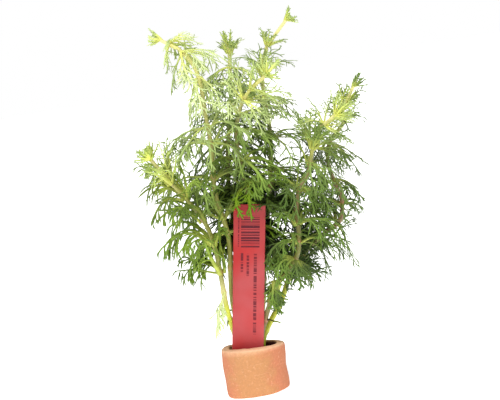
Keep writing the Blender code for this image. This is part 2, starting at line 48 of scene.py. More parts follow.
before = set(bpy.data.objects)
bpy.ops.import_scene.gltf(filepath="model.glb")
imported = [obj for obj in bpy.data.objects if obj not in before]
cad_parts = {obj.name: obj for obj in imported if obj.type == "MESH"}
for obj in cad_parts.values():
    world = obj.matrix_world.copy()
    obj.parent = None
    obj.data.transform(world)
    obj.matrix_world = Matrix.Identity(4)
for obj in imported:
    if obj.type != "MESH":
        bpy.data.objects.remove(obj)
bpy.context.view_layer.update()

MM = 0.001
DOWN = Vector((0, 0, -1))

# The shoots, with what sets each apart. limp is how far its leaf segments hang, clump how far they lie
# along the midrib, width how broad they are beside the usual and grey how far a painted grey sheen covers
# their green. lights and tones are pairs of a distance along the stem in millimetres and a value there: how
# far the shoot is made paler by painted light, and its stem's colour, from 0 fresh green through 0.5 olive
# to 1 red-brown. bare_nodes are the places of nodes that have lost their leaves. full_crown gives a shoot's
# end more leaves, full_whorl gives its last whorl more and lets small leaves grow in front of the stem, and
# crown_age makes the leaves at its end look older.
SHOOTS = {
    "left_tall": {
        "limp": 0.8, "clump": 0.25, "width": 1.2, "grey": 0.05,
        "lights": ((70, 0.1), (116, 0.35), (146, 0.8), (168, 0.8)),
        "tones": ((0, 0.4), (100, 0.4), (126, 0.45), (143, 0.3), (172, 0.1)), "bare_nodes": (57,)},
    "left_low": {
        "full_crown": True, "limp": 2.0, "clump": 0.5, "width": 1.25, "grey": 0.0,
        "lights": ((40, 0.0), (47, 0.9), (56, 0.05), (98, 0.1), (107, 0.4)),
        "tones": ((0, 0.0), (46, 0.05), (52, 0.4), (90, 0.5), (104, 0.3), (121, 0.1)), "bare_nodes": (32,)},
    "middle_left": {
        "limp": 0.6, "clump": 0.15, "width": 1.05, "grey": 0.25,
        "lights": ((90, 0.0), (126, 0.25), (141, 0.5), (156, 0.5)),
        "tones": ((0, 0.3), (90, 0.5), (141, 0.45), (150, 0.3), (159, 0.05)), "bare_nodes": (60, 75, 102)},
    "middle": {
        "limp": 0.5, "clump": 0.1, "width": 1.3, "grey": 0.0,
        "lights": ((76, 0.0), (119, 0.2), (127, 0.75), (143, 0.6)),
        "tones": ((0, 0.3), (60, 0.4), (128, 0.5), (138, 0.2), (152, 0.0)), "bare_nodes": (60,)},
    "top": {
        "limp": 0.6, "clump": 0.1, "width": 0.92, "grey": 0.3,
        "lights": ((66, 0.0), (100, 0.2), (134, 0.5), (159, 0.5)),
        "tones": ((0, 0.3), (70, 0.55), (84, 0.75), (88, 0.55), (125, 0.6), (140, 0.4), (160, 0.15),
                  (172, 0.0)),
        "bare_nodes": (48,)},
    "right_low": {
        "crown_age": 0.55, "limp": 0.7, "clump": 0.05, "width": 0.85, "grey": 0.6,
        "lights": ((52, 0.0), (108, 0.15), (139, 0.35), (146, 0.25)),
        "tones": ((0, 0.0), (56, 0.05), (70, 0.6), (84, 1.0), (104, 0.9), (122, 0.55), (146, 0.2),
                  (156, 0.0)),
        "bare_nodes": (24, 38, 75)},
    "right_high": {
        "full_crown": True, "full_whorl": True, "limp": 0.6, "clump": 0.05, "width": 0.95, "grey": 0.45,
        "lights": ((50, 0.0), (100, 0.05), (118, 0.25), (127, 0.65)),
        "tones": ((0, 0.8), (34, 0.7), (42, 0.4), (60, 0.45), (78, 0.55), (90, 0.75), (108, 0.75), (116, 0.3),
                  (137, 0.1)),
        "bare_nodes": (30, 40)},
}

# Bits on the lower stems: the shoot, the distance along it, the direction round it in degrees (0 to the
# right, 90 to the back), the length in millimetres, how far it bends down, and its age (over 1 is dead
# and dark).
BITS = (
    ("right_low", 28, -20, 4.5, 1.4, 0.35), ("right_low", 33, 10, 3.2, 0.2, 1.3),
    ("right_low", 36, -60, 2.6, -0.6, 1.1), ("right_low", 40, 20, 3.0, 0.8, 0.9),
    ("right_low", 45, -30, 3.6, 0.4, 1.0), ("right_low", 26, 200, 3.0, 1.0, 1.4),
    ("right_high", 30, -40, 4.2, 1.2, 1.5), ("right_high", 34, 150, 3.4, 0.8, 1.2),
    ("left_low", 33, 230, 4.0, 1.5, 1.2), ("left_low", 36, 190, 3.6, 1.2, 1.0),
    ("left_tall", 30, 220, 4.6, 1.4, 1.1), ("left_tall", 36, 160, 3.2, 0.9, 1.3),
)

# Leaves of the middle shoot that hang in front of the label's top: their roots, bends and tips.
HANGING_MM = (((-6.8, -3.5, 97.2), (-11.5, -8.5, 92.5), (-10.5, -9.0, 82.4)),
              ((-6.0, -3.8, 97.2), (-5.9, -8.5, 92.0), (-7.0, -9.0, 80.8)))

# Numbers that a leaf's colour depends on: its age, the distance along it, how far a painted grey sheen
# covers its green, how much painted shade its place in the bunch gets and how far painted light makes its
# shoot paler there.
LEAF_VALUES = ("age", "along", "grey", "deep", "light")

# How far from the top of its stem a crown's whorl can have its roots. The roots of its tip are further off.
CROWN_WHORL_MM = 3.2

# The middle of the bunch, where leaves are painted dark as shade: its centre and how far it reaches.
DARK_CENTRE_MM = (-2, 13, 62)
DARK_REACH_MM = (36, 20, 42)

# A line up the label, a little right of its middle, from its foot to just over its top, and how far leaf
# segments keep off it to the sides and in depth.
LABEL_FOOT_MM = Vector((-20.8, 1.8, 4.3))
LABEL_TOP_MM = Vector((-5.2, -4.6, 90.5))
LABEL_CLEAR_MM = (7.0, 1.7)

# How far the label leans to the right and to the front.
LABEL_LEAN_RIGHT = math.radians(10.5)
LABEL_LEAN_FRONT = math.radians(4.5)

# Leaves whose tips are further back than this have short branches, and no undergrowth or leaf that fills a
# gap grows there. Undergrowth in the dark, painted in full shade, ends behind the label, and carries less
# painted shade where it ends far back.
BACK_MM = 34
BEHIND_LABEL_MM = 6
DIMMEST_TO_MM = 20

# Every leaf: its branches curl at random, it sways from side to side, and some of its lobes are missing. Then
# the steps of its midrib and, by their depth in the leaf, of its branches and lobes. Leaves whose painted
# shade passes a limit have fewer.
CURL = 0.18
SWAY = 0.03
PLAIN_CHANCE = 0.36
MIDRIB_STEPS = 12
STEPS = (7, 5, 3)
DARK_STEPS = (5, 3, 2)
DARK_FROM = 0.7

# By their depth in the leaf: how wide branches and lobes still are before their ends, and the length from
# which they fork.
END_WIDTHS = (0.55, 0.5, 0.45)
FORK_MM = (2.4, 5.0)

# The photograph's width in pixels and the size of a pixel at the ring, and the camera's place: how far
# away it is, how far it looks down, how far the picture is turned, and the middle of the view, seen from
# the ring's middle.
PHOTO_PIXELS = 500
PIXEL_MM = 0.463
CAMERA_AWAY = 0.7
CAMERA_PITCH = math.radians(6)
CAMERA_ROLL = math.radians(10)
VIEW_MIDDLE_MM = Vector((10.83, 0.058, 89.2))


# Settings

def colour(name, value, text):
    return FloatVectorProperty(name=name, description=text, default=value, subtype="COLOR", size=3, min=0,
                               max=1)


def length(name, value, text):
    return FloatProperty(name=name, description=text, default=value, unit="LENGTH", min=0, precision=5)


def factor(name, value, text):
    return FloatProperty(name=name, description=text, default=value, subtype="FACTOR", min=0, max=1)


def count(name, value, text, least):
    return IntProperty(name=name, description=text, default=value, min=least)


def amount(name, value, text):
    return FloatProperty(name=name, description=text, default=value, min=0)


class LeafSettings(PropertyGroup):
    pairs: count("Pairs", 4, "Side branches on each side of a leaf's midrib", 2)
    segment_width: length("Segment width", 0.00088, "Width of a leaf's widest segments")
    segment_thickness: length("Segment thickness", 0.00055, "Thickness of a leaf's widest segments")
    branch_share: factor("Branch length", 0.52, "Length of a side branch as a share of the leaf's length")
    between: factor("Leaves between", 0.9, "Chance of a smaller leaf between two neighbours of a whorl")
    young: colour("Young", (0.57, 0.72, 0.08), "Colour of the youngest leaves")
    grown: colour("Grown", (0.205, 0.335, 0.018), "Colour of grown leaves")
    # Painted shade in the middle of the bunch, which the deep value brings a leaf to; partly the dark of aged
    # leaves.
    old_and_painted_shade: colour("Old", (0.008, 0.016, 0.004), "Colour of the oldest leaves, low in the bunch")
    # A painted grey sheen, which the grey value brings a leaf to.
    painted_sheen: colour("Dulled", (0.15, 0.22, 0.085), "Colour of leaves that have dried a little")
    heart: colour("Heart", (0.80, 0.80, 0.17), "Colour of a leaf where it leaves the stem")
    tips: colour("Tips", (0.075, 0.145, 0.018), "Colour of the ends of a grown leaf's segments")
    # Painted light, which the light value brings a leaf to.
    faint: colour("Faint", (0.75, 0.86, 0.42), "Colour of the palest leaves")
    dead: colour("Dead", (0.035, 0.030, 0.014), "Colour of dead bits")


class StemSettings(PropertyGroup):
    swelling: factor("Swelling", 0.28, "How much wider a stem is at a node")
    ridges: count("Ridges", 5, "Ridges round a stem", 3)
    ridge_depth: factor("Ridge depth", 0.05, "Depth of the ridges as a share of the stem's radius")
    fresh: colour("Fresh", (0.58, 0.62, 0.05), "Colour of fresh green stem")
    olive: colour("Olive", (0.20, 0.205, 0.043), "Colour of grown stem")
    woody: colour("Woody", (0.25, 0.12, 0.07), "Colour of red-brown stem")
    # Reached just below a growing tip, and as painted light where the shoot's leaves carry painted light.
    pale: colour("Pale", (0.80, 0.73, 0.33), "Colour of the stem just below a growing tip")
    node: colour("Node", (0.42, 0.20, 0.09), "Colour of a grown stem's nodes")


class RingSettings(PropertyGroup):
    dent: length("Dents", 0.00030, "Depth of the shallow dents of the outside")
    pits: count("Pits", 90, "Number of small pits", 0)
    pit_depth: length("Pit depth", 0.00022, "Depth of a small pit")
    clay: colour("Clay", (0.515, 0.243, 0.102), "Colour of the fired clay")
    pink: colour("Pink clay", (0.56, 0.207, 0.105), "Colour of the pinker patches")
    # Pale colour for the rim's wear and painted light, and for lime specks and scratches.
    rim: colour("Rim", (0.78, 0.46, 0.28), "Colour of the rubbed rim and lime marks")
    # Painted shade in the hole.
    hole: colour("Hole", (0.055, 0.008, 0.010), "Colour of the damp clay inside the hole")


class LabelSettings(PropertyGroup):
    edge: length("Edge", 0.00012, "Radius of the label's rounded edges")
    red: colour("Red", (0.49, 0.014, 0.013), "Colour of the plastic")
    # Paler, pinker red of fade patches, and painted light towards the label's foot and right side.
    faded_and_painted_light: colour("Faded red", (0.485, 0.070, 0.074), "Colour of the plastic where it has faded")
    print_colour: colour("Print", (0.10, 0.003, 0.012), "Colour of the printed stripes")


class StageSettings(PropertyGroup):
    floor: colour("Floor", (0.93, 0.93, 0.93), "Colour of the floor")
    surround: amount("Surround", 0.3, "Strength of the light from all round")
    key: amount("Key light", 3.0, "Strength of the soft light at the upper left")
    fill: amount("Fill light", 0.6, "Strength of the soft light at the front right")


# Node trees

def built_once(kind, name):
    """For a function that builds a data block: lets it do so only where the file has none of that name."""

    def wrap(build):
        return lambda: getattr(bpy.data, kind).get(name) or build(name)

    return wrap


def feed(tree, socket, value):
    """Links an input from another socket, or sets it to a value."""
    if isinstance(value, bpy.types.NodeSocket):
        tree.links.new(value, socket)
    else:
        socket.default_value = value


def add_node(tree, kind, inputs=None, **settings):
    """A node with its settings. inputs maps names or numbers of its inputs to values or sockets."""
    node = tree.nodes.new(kind)
    for key, value in settings.items():
        setattr(node, key, value)
    for key, value in (inputs or {}).items():
        feed(tree, node.inputs[key], value)
    return node


def add_sockets(tree, direction, sockets):
    """Named sockets of a node group. sockets maps a name to its kind and, for an input, its default."""
    for name, (kind, default) in sockets.items():
        socket = tree.interface.new_socket(name, in_out=direction, socket_type="NodeSocket" + kind)
        if default is not None:
            socket.default_value = default


def attribute(tree, name):
    """The socket of a value that a mesh carries."""
    node = add_node(tree, "ShaderNodeAttribute", attribute_type="GEOMETRY", attribute_name=name)
    return node.outputs["Fac"]


def blend(tree, share, first, second):
    """The socket of a colour between first and second, which are sockets or settings."""
    mix = add_node(tree, "ShaderNodeMix", {0: share}, data_type="RGBA")
    for key, value in ((6, first), (7, second)):
        feed(tree, mix.inputs[key], value if isinstance(value, bpy.types.NodeSocket) else (*value, 1.0))
    return mix.outputs[2]


def math_node(tree, operation, *values):
    """The socket of a sum. values are numbers or sockets."""
    return add_node(tree, "ShaderNodeMath", dict(enumerate(values)), operation=operation).outputs[0]


def between(tree, value, low, high, to_low=0.0, to_high=1.0):
    """The socket of a value that is brought from one range to another, and held inside it."""
    inputs = {"Value": value, "From Min": low, "From Max": high, "To Min": to_low, "To Max": to_high}
    return add_node(tree, "ShaderNodeMapRange", inputs, clamp=True).outputs["Result"]


def noise_at(tree, place, scale, detail=3.0, roughness=0.55):
    """The socket of a noise value. scale is in waves per metre."""
    inputs = {"Vector": place, "Scale": scale, "Detail": detail, "Roughness": roughness}
    return add_node(tree, "ShaderNodeTexNoise", inputs).outputs["Fac"]


def drawn_out(tree, place, scale):
    """The socket of a place whose pattern is finer or coarser along each axis."""
    return add_node(tree, "ShaderNodeMapping", {"Vector": place, "Scale": scale}).outputs[0]


@built_once("node_groups", "Mottle")
def mottle_group(name):
    """A shader node group: soft patches and fine specks that lighten and darken a colour."""
    tree = bpy.data.node_groups.new(name, "ShaderNodeTree")
    add_sockets(tree, "INPUT", {"Color": ("Color", (0.5, 0.5, 0.5, 1)), "Place": ("Vector", None),
                                "Patch Scale": ("Float", 200.0), "Speck Scale": ("Float", 2000.0),
                                "Patch Amount": ("Float", 0.2), "Speck Amount": ("Float", 0.1)})
    add_sockets(tree, "OUTPUT", {"Color": ("Color", None), "Height": ("Float", None)})
    start = add_node(tree, "NodeGroupInput").outputs
    patches = noise_at(tree, start["Place"], start["Patch Scale"])
    specks = noise_at(tree, start["Place"], start["Speck Scale"], 2.0, 0.6)
    light = math_node(tree, "MULTIPLY", math_node(tree, "SUBTRACT", patches, 0.5), start["Patch Amount"])
    grain = math_node(tree, "MULTIPLY", math_node(tree, "SUBTRACT", specks, 0.5), start["Speck Amount"])
    total = math_node(tree, "ADD", math_node(tree, "ADD", light, grain), 1.0)
    shaded = add_node(tree, "ShaderNodeVectorMath", {0: start["Color"], "Scale": total}, operation="SCALE")
    height = math_node(tree, "ADD", patches, specks)
    add_node(tree, "NodeGroupOutput", {"Color": shaded.outputs[0], "Height": height})
    return tree


def mottled(tree, colour_socket, place, patch_scale, speck_scale, patch_amount, speck_amount):
    """The outputs of a mottle group that is placed in a material."""
    return add_node(tree, "ShaderNodeGroup", {
        "Color": colour_socket, "Place": place, "Patch Scale": patch_scale, "Speck Scale": speck_scale,
        "Patch Amount": patch_amount, "Speck Amount": speck_amount}, node_tree=mottle_group()).outputs


def new_material(name, **constants):
    """A material with its Principled shader and the socket of object coordinates."""
    made = bpy.data.materials.new(name)
    made.use_nodes = True
    tree = made.node_tree
    shader = tree.nodes["Principled BSDF"]
    for key, value in constants.items():
        shader.inputs[key.replace("_", " ")].default_value = value
    place = add_node(tree, "ShaderNodeTexCoord").outputs["Object"]
    return made, tree, shader, place


def finish_surface(tree, shader, colour_socket, roughness, height, strength, distance):
    """Gives a material's shader its colour and roughness, and bumps of a height pattern."""
    bump = add_node(tree, "ShaderNodeBump", {"Height": height, "Strength": strength, "Distance": distance})
    feed(tree, shader.inputs["Base Color"], colour_socket)
    feed(tree, shader.inputs["Roughness"], roughness)
    feed(tree, shader.inputs["Normal"], bump.outputs["Normal"])


@built_once("materials", "ambulia_leaf")
def leaf_material(name):
    """Leaf green that runs from young to grown, paler at the stem, with painted light on the paler shoots,
    painted shade in the middle of the bunch and a painted grey sheen on some shoots.
    """
    leaves = bpy.context.scene.ambulia_leaves
    made, tree, shader, place = new_material(name, Specular_IOR_Level=0.12)
    age, along, grey, deep, light = (attribute(tree, name) for name in LEAF_VALUES)
    green = blend(tree, between(tree, age, 0.0, 0.75), leaves.young, leaves.grown)
    # Painted light makes the green paler, and painted shade (deep) darkens it.
    shaded = blend(tree, deep, blend(tree, light, green, leaves.faint), leaves.old_and_painted_shade)
    # A painted grey sheen on the greyer shoots.
    with_sheen = blend(tree, grey, shaded, leaves.painted_sheen)
    tip_share = math_node(tree, "MULTIPLY", between(tree, along, 0.45, 0.85, 0.0, 0.55),
                          between(tree, light, 0.3, 0.9, 1.0, 0.0))
    tipped = blend(tree, tip_share, with_sheen, leaves.tips)
    heart_reach = between(tree, age, 0.1, 0.5, 0.75, 0.35)
    near_heart = between(tree, math_node(tree, "DIVIDE", along, heart_reach), 0.0, 1.0, 1.0, 0.0)
    heart_light = math_node(tree, "MULTIPLY", between(tree, deep, 0.0, 1.0, 1.0, 0.15),
                            between(tree, age, 0.2, 0.7, 0.85, 0.5))
    hearted = blend(tree, math_node(tree, "MULTIPLY", near_heart, heart_light), tipped, leaves.heart)
    dead = blend(tree, between(tree, age, 1.05, 1.5), hearted, leaves.dead)
    surface = mottled(tree, dead, place, 260.0, 2400.0, 0.8, 0.35)
    roughness = between(tree, surface["Height"], 0.6, 1.4, 0.34, 0.52)
    finish_surface(tree, shader, surface["Color"], roughness, surface["Height"], 0.25, 0.00006)
    return made


@built_once("materials", "ambulia_stem")
def stem_material(name):
    """Ribbed stem: fresh green, olive or red-brown, paler below the tips and with painted light beside pale
    leaves, and redder at the nodes.
    """
    stems = bpy.context.scene.ambulia_stems
    made, tree, shader, place = new_material(name)
    tone, pale, node = (attribute(tree, name) for name in ("tone", "pale", "node"))
    green = blend(tree, between(tree, tone, 0.0, 0.5), stems.fresh, stems.olive)
    grown = blend(tree, between(tree, tone, 0.5, 1.0), green, stems.woody)
    node_share = math_node(tree, "MULTIPLY", node, between(tree, tone, 0.05, 0.6))
    lit = blend(tree, pale, blend(tree, node_share, grown, stems.node), stems.pale)
    surface = mottled(tree, lit, drawn_out(tree, place, (1.0, 1.0, 0.12)), 420.0, 2600.0, 0.5, 0.4)
    roughness = between(tree, surface["Height"], 0.6, 1.4, 0.3, 0.5)
    finish_surface(tree, shader, surface["Color"], roughness, surface["Height"], 0.4, 0.00012)
    return made


def clay_material():
    """Unglazed fired clay: orange with pinker patches and pinker sides of painted shade, a pale rim of wear
    and painted light, scratches, and painted shade in the hole.
    """
    ring = bpy.context.scene.ambulia_ring
    made, tree, shader, place = new_material("fired_clay_rough", Specular_IOR_Level=0.25)
    low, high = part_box("clay_ring")
    orange_x = (low.x + high.x) / 2 - 0.002
    across = add_node(tree, "ShaderNodeSeparateXYZ", {0: place}).outputs[0]
    beside = math_node(tree, "SUBTRACT", across, orange_x)
    # Painted shade: the clay turns pinker towards the sides of the ring as seen from the front.
    sides = between(tree, math_node(tree, "ABSOLUTE", beside), 0.006, 0.013, -0.12, 0.30)
    patches = math_node(tree, "ADD", noise_at(tree, place, 130.0, 4.0, 0.6), sides)
    body = blend(tree, between(tree, patches, 0.40, 0.72), ring.clay, ring.pink)
    chalk = between(tree, noise_at(tree, place, 800.0, 4.0, 0.7), 0.56, 0.72, 0.0, 0.45)
    scratches = noise_at(tree, drawn_out(tree, place, (0.25, 0.25, 3.0)), 420.0, 3.0, 0.6)
    scratch = between(tree, scratches, 0.64, 0.74, 0.0, 0.25)
    scratched = blend(tree, scratch, blend(tree, chalk, body, ring.rim), ring.rim)
    # Wear and painted light: the top faces and the upper band of the outside are pale.
    rubbed_and_painted_light = blend(tree, attribute(tree, "rubbed_and_painted_light"), scratched, ring.rim)
    # Painted shade in the hole.
    inside = blend(tree, attribute(tree, "inside"), rubbed_and_painted_light, ring.hole)
    surface = mottled(tree, inside, place, 900.0, 5200.0, 0.34, 0.4)
    roughness = between(tree, surface["Height"], 0.5, 1.5, 0.8, 0.98)
    grain = math_node(tree, "ADD", surface["Height"], math_node(tree, "MULTIPLY", scratch, -2.0))
    finish_surface(tree, shader, surface["Color"], roughness, grain, 0.6, 0.00018)
    return made


def print_mask(tree, u, v):
    """The socket that is 1 where the label is printed: a block of uneven stripes, a row of ticks and three
    rows of dashes. u runs across the label and v along it."""
    soft, dash_ink = 0.004, 0.85
    stripes_pitch, dashes_pitch = 330.0, 300.0

    def window(value, low, high):
        """1 between low and high, with a soft edge."""
        rise = between(tree, value, low - soft, low + soft)
        return math_node(tree, "MULTIPLY", rise, between(tree, value, high - soft, high + soft, 1.0, 0.0))

    def bars(pitch, filled, seed):
        """Random bars along the label, of equal pitch, of which the share that is filled shows."""
        cell = math_node(tree, "FLOOR", math_node(tree, "MULTIPLY", v, pitch))
        shade = add_node(tree, "ShaderNodeTexWhiteNoise", {"W": math_node(tree, "ADD", cell, seed)},
                         noise_dimensions="1D").outputs["Value"]
        return math_node(tree, "LESS_THAN", shade, filled)

    def block(u_low, u_high, v_low, v_high, pattern):
        place = math_node(tree, "MULTIPLY", window(u, u_low, u_high), window(v, v_low, v_high))
        return math_node(tree, "MULTIPLY", place, pattern)

    def dashes(u_low, u_high, v_low, v_high, seed):
        """A row of thin dashes, as light as fine print."""
        row = block(u_low, u_high, v_low, v_high, bars(dashes_pitch, 0.70, seed))
        return math_node(tree, "MULTIPLY", row, dash_ink)

    total = block(0.24, 0.825, 0.764, 0.935, bars(stripes_pitch, 0.5, 11.5))
    for row in ((0.145, 0.185, 0.768, 0.930, 3.5), (0.650, 0.750, 0.281, 0.728, 40.5),
                (0.425, 0.505, 0.607, 0.728, 77.5), (0.240, 0.320, 0.629, 0.734, 91.5)):
        total = math_node(tree, "MAXIMUM", total, dashes(*row))
    return total


def plastic_material(name, printed):
    """Satin red plastic, paler and pinker in fade patches and, as painted light, towards its foot and its
    right side, with fine scratches. The front carries the print.
    """
    label = bpy.context.scene.ambulia_label
    made, tree, shader, place = new_material(name, Specular_IOR_Level=0.25, Coat_Weight=0.05,
                                             Coat_Roughness=0.25)
    across, _, height = add_node(tree, "ShaderNodeSeparateXYZ", {0: place}).outputs
    # Painted light: paler and pinker towards the foot and the right side.
    shift = math_node(tree, "ADD", between(tree, height, 0.03, 0.085, 0.10, -0.10),
                      between(tree, across, -0.022, -0.006, -0.10, 0.06))
    faded_and_painted_light = between(tree, math_node(tree, "ADD", noise_at(tree, place, 40.0, 2.0), shift), 0.30, 0.62)
    body = blend(tree, faded_and_painted_light, label.red, label.faded_and_painted_light)
    if printed:
        uv_map = add_node(tree, "ShaderNodeUVMap", uv_map="label").outputs[0]
        u, v, _ = add_node(tree, "ShaderNodeSeparateXYZ", {0: uv_map}).outputs
        worn = between(tree, noise_at(tree, place, 1500.0, 3.0, 0.6), 0.30, 0.44, 0.80, 1.0)
        ink = math_node(tree, "MULTIPLY", print_mask(tree, u, v), worn)
        body = blend(tree, ink, body, label.print_colour)
    surface = mottled(tree, body, place, 320.0, 3800.0, 0.10, 0.10)
    scratches = noise_at(tree, drawn_out(tree, place, (3.0, 1.0, 0.1)), 900.0, 2.0, 0.5)
    roughness = between(tree, scratches, 0.35, 0.65, 0.34, 0.46)
    finish_surface(tree, shader, surface["Color"], roughness, scratches, 0.12, 0.00004)
    return made


# Meshes

def object_from(name, mesh, materials=()):
    piece = bpy.data.objects.new(name, mesh)
    for entry in materials:
        mesh.materials.append(entry)
    bpy.context.scene.collection.objects.link(piece)
    return piece


def hand_over(piece, slot, *nodes):
    """A finished piece rides on the plant's one body and stands for the named solids, which are hidden."""
    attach(piece, "root")
    if nodes:
        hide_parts(*nodes)


def mesh_from(bm, name):
    mesh = bpy.data.meshes.new(name)
    bm.to_mesh(mesh)
    bm.free()
    return mesh


def plain_mesh(carrier):
    """The mesh of an object with its modifiers applied. The object itself is removed."""
    bpy.context.view_layer.update()
    mesh = bpy.data.meshes.new_from_object(carrier.evaluated_get(bpy.context.evaluated_depsgraph_get()))
    bpy.data.objects.remove(carrier)
    return mesh


def merged_solid(node):
    """A node's solid as a closed bmesh, in millimetres."""
    bm = bmesh.new()
    bm.from_mesh(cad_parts[node].data)
    bmesh.ops.remove_doubles(bm, verts=bm.verts, dist=1e-6)
    bmesh.ops.scale(bm, vec=Vector((1, 1, 1)) / MM, verts=bm.verts)
    bm.verts.index_update()
    return bm


def held(value, low=0.0, high=1.0):
    """A value, or the end of the range that it passes."""
    return min(high, max(low, value))


def mean(points):
    points = list(points)
    return sum(points, Vector()) / len(points)


def mean_number(numbers):
    numbers = list(numbers)
    return sum(numbers) / len(numbers)


class Lines:
    """Lines to be made into strips or tubes. Each point has a radius, a facing direction and named values."""

    def __init__(self, *names):
        self.points = []
        self.edges = []
        self.radii = []
        self.facings = []
        self.values = {name: [] for name in names}

    def add(self, points, radii, facings, **values):
        """values are numbers for the whole line, or lists with a number for each point."""
        first = len(self.points)
        total = len(points)
        self.points += [p * MM for p in points]
        self.edges += [(first + k, first + k + 1) for k in range(total - 1)]
        self.radii += [r * MM for r in radii]
        self.facings += facings if isinstance(facings, list) else [facings] * total
        for name, store in self.values.items():
            value = values[name]
            store += value if isinstance(value, list) else [value] * total

    def mesh(self, name):
        mesh = bpy.data.meshes.new(name)
        mesh.from_pydata(self.points, self.edges, [])
        for key, numbers in (("radius", self.radii), *self.values.items()):
            mesh.attributes.new(key, "FLOAT", "POINT").data.foreach_set("value", numbers)
        facing = mesh.attributes.new("facing", "FLOAT_VECTOR", "POINT")
        facing.data.foreach_set("vector", [c for f in self.facings for c in f])
        return mesh


def profile_tree(name, inputs, shaped):
    """A Geometry Nodes tree that draws a profile along lines, as wide as their radius says. shaped makes the
    profile from a circle."""
    tree = bpy.data.node_groups.new(name, "GeometryNodeTree")
    add_sockets(tree, "INPUT", {"Geometry": ("Geometry", None), **inputs, "Material": ("Material", None)})
    add_sockets(tree, "OUTPUT", {"Geometry": ("Geometry", None)})
    start = add_node(tree, "NodeGroupInput").outputs
    facing = add_node(tree, "GeometryNodeInputNamedAttribute", {"Name": "facing"}, data_type="FLOAT_VECTOR")
    radius = add_node(tree, "GeometryNodeInputNamedAttribute", {"Name": "radius"}, data_type="FLOAT")
    lines = add_node(tree, "GeometryNodeMeshToCurve", {"Mesh": start["Geometry"]})
    turned = add_node(tree, "GeometryNodeSetCurveNormal", {
        "Curve": lines.outputs[0], "Normal": facing.outputs[0]}, mode="FREE")
    circle = add_node(tree, "GeometryNodeCurvePrimitiveCircle", {"Resolution": start["Sides"], "Radius": 1.0},
                      mode="RADIUS").outputs[0]
    tube = add_node(tree, "GeometryNodeCurveToMesh", {
        "Curve": turned.outputs[0], "Profile Curve": shaped(tree, start, circle), "Scale": radius.outputs[0],
        "Fill Caps": True})
    smooth = add_node(tree, "GeometryNodeSetShadeSmooth", {"Geometry": tube.outputs[0]})
    real = add_node(tree, "GeometryNodeRealizeInstances", {"Geometry": smooth.outputs[0]})
    finished = add_node(tree, "GeometryNodeSetMaterial", {
        "Geometry": real.outputs[0], "Material": start["Material"]})
    add_node(tree, "NodeGroupOutput", {"Geometry": finished.outputs[0]})
    return tree


@built_once("node_groups", "Leaf strips")
def leaf_strip_tree(name):
    """Flat, keeled strips: with four sides the profile is a low diamond, a radius wide to each side."""

    def flattened(tree, start, circle):
        flat = add_node(tree, "ShaderNodeCombineXYZ", {"X": start["Flatness"], "Y": 1.0, "Z": 1.0})
        low = add_node(tree, "GeometryNodeTransform", {"Geometry": circle, "Scale": flat.outputs[0]})
        return low.outputs[0]

    return profile_tree(name, {"Sides": ("Int", 4), "Flatness": ("Float", 0.5)}, flattened)


@built_once("node_groups", "Ribbed stem")
def stem_tube_tree(name):
    """Ribbed tubes: the profile is a circle whose radius rises and falls."""

    def ribbed(tree, start, circle):
        index = add_node(tree, "GeometryNodeInputIndex").outputs[0]
        turn = math_node(tree, "DIVIDE", math_node(tree, "MULTIPLY", index, math.tau), start["Sides"])
        wave = math_node(tree, "SINE", math_node(tree, "MULTIPLY", turn, start["Ridges"]))
        grow = math_node(tree, "MULTIPLY", wave, start["Ridge Depth"])
        place = add_node(tree, "GeometryNodeInputPosition").outputs[0]
        shift = add_node(tree, "ShaderNodeVectorMath", {0: place, "Scale": grow}, operation="SCALE")
        waved = add_node(tree, "GeometryNodeSetPosition", {"Geometry": circle, "Offset": shift.outputs[0]})
        return waved.outputs[0]

    inputs = {"Sides": ("Int", 20), "Ridges": ("Int", 5), "Ridge Depth": ("Float", 0.05)}
    return profile_tree(name, inputs, ribbed)


def drawn_piece(name, lines, tree, **inputs):
    """A plain mesh piece made from lines by a Geometry Nodes tree."""
    carrier = object_from(name + "_lines", lines.mesh(name))
    modifier = carrier.modifiers.new("growth", "NODES")
    modifier.node_group = tree
    for item in tree.interface.items_tree:
        if item.in_out == "INPUT" and item.name in inputs:
            modifier[item.identifier] = inputs[item.name]
    mesh = plain_mesh(carrier)
    mesh.name = name
    for spare in ("radius", "facing"):
        if spare in mesh.attributes:
            mesh.attributes.remove(mesh.attributes[spare])
    return object_from(name, mesh)


# Stems

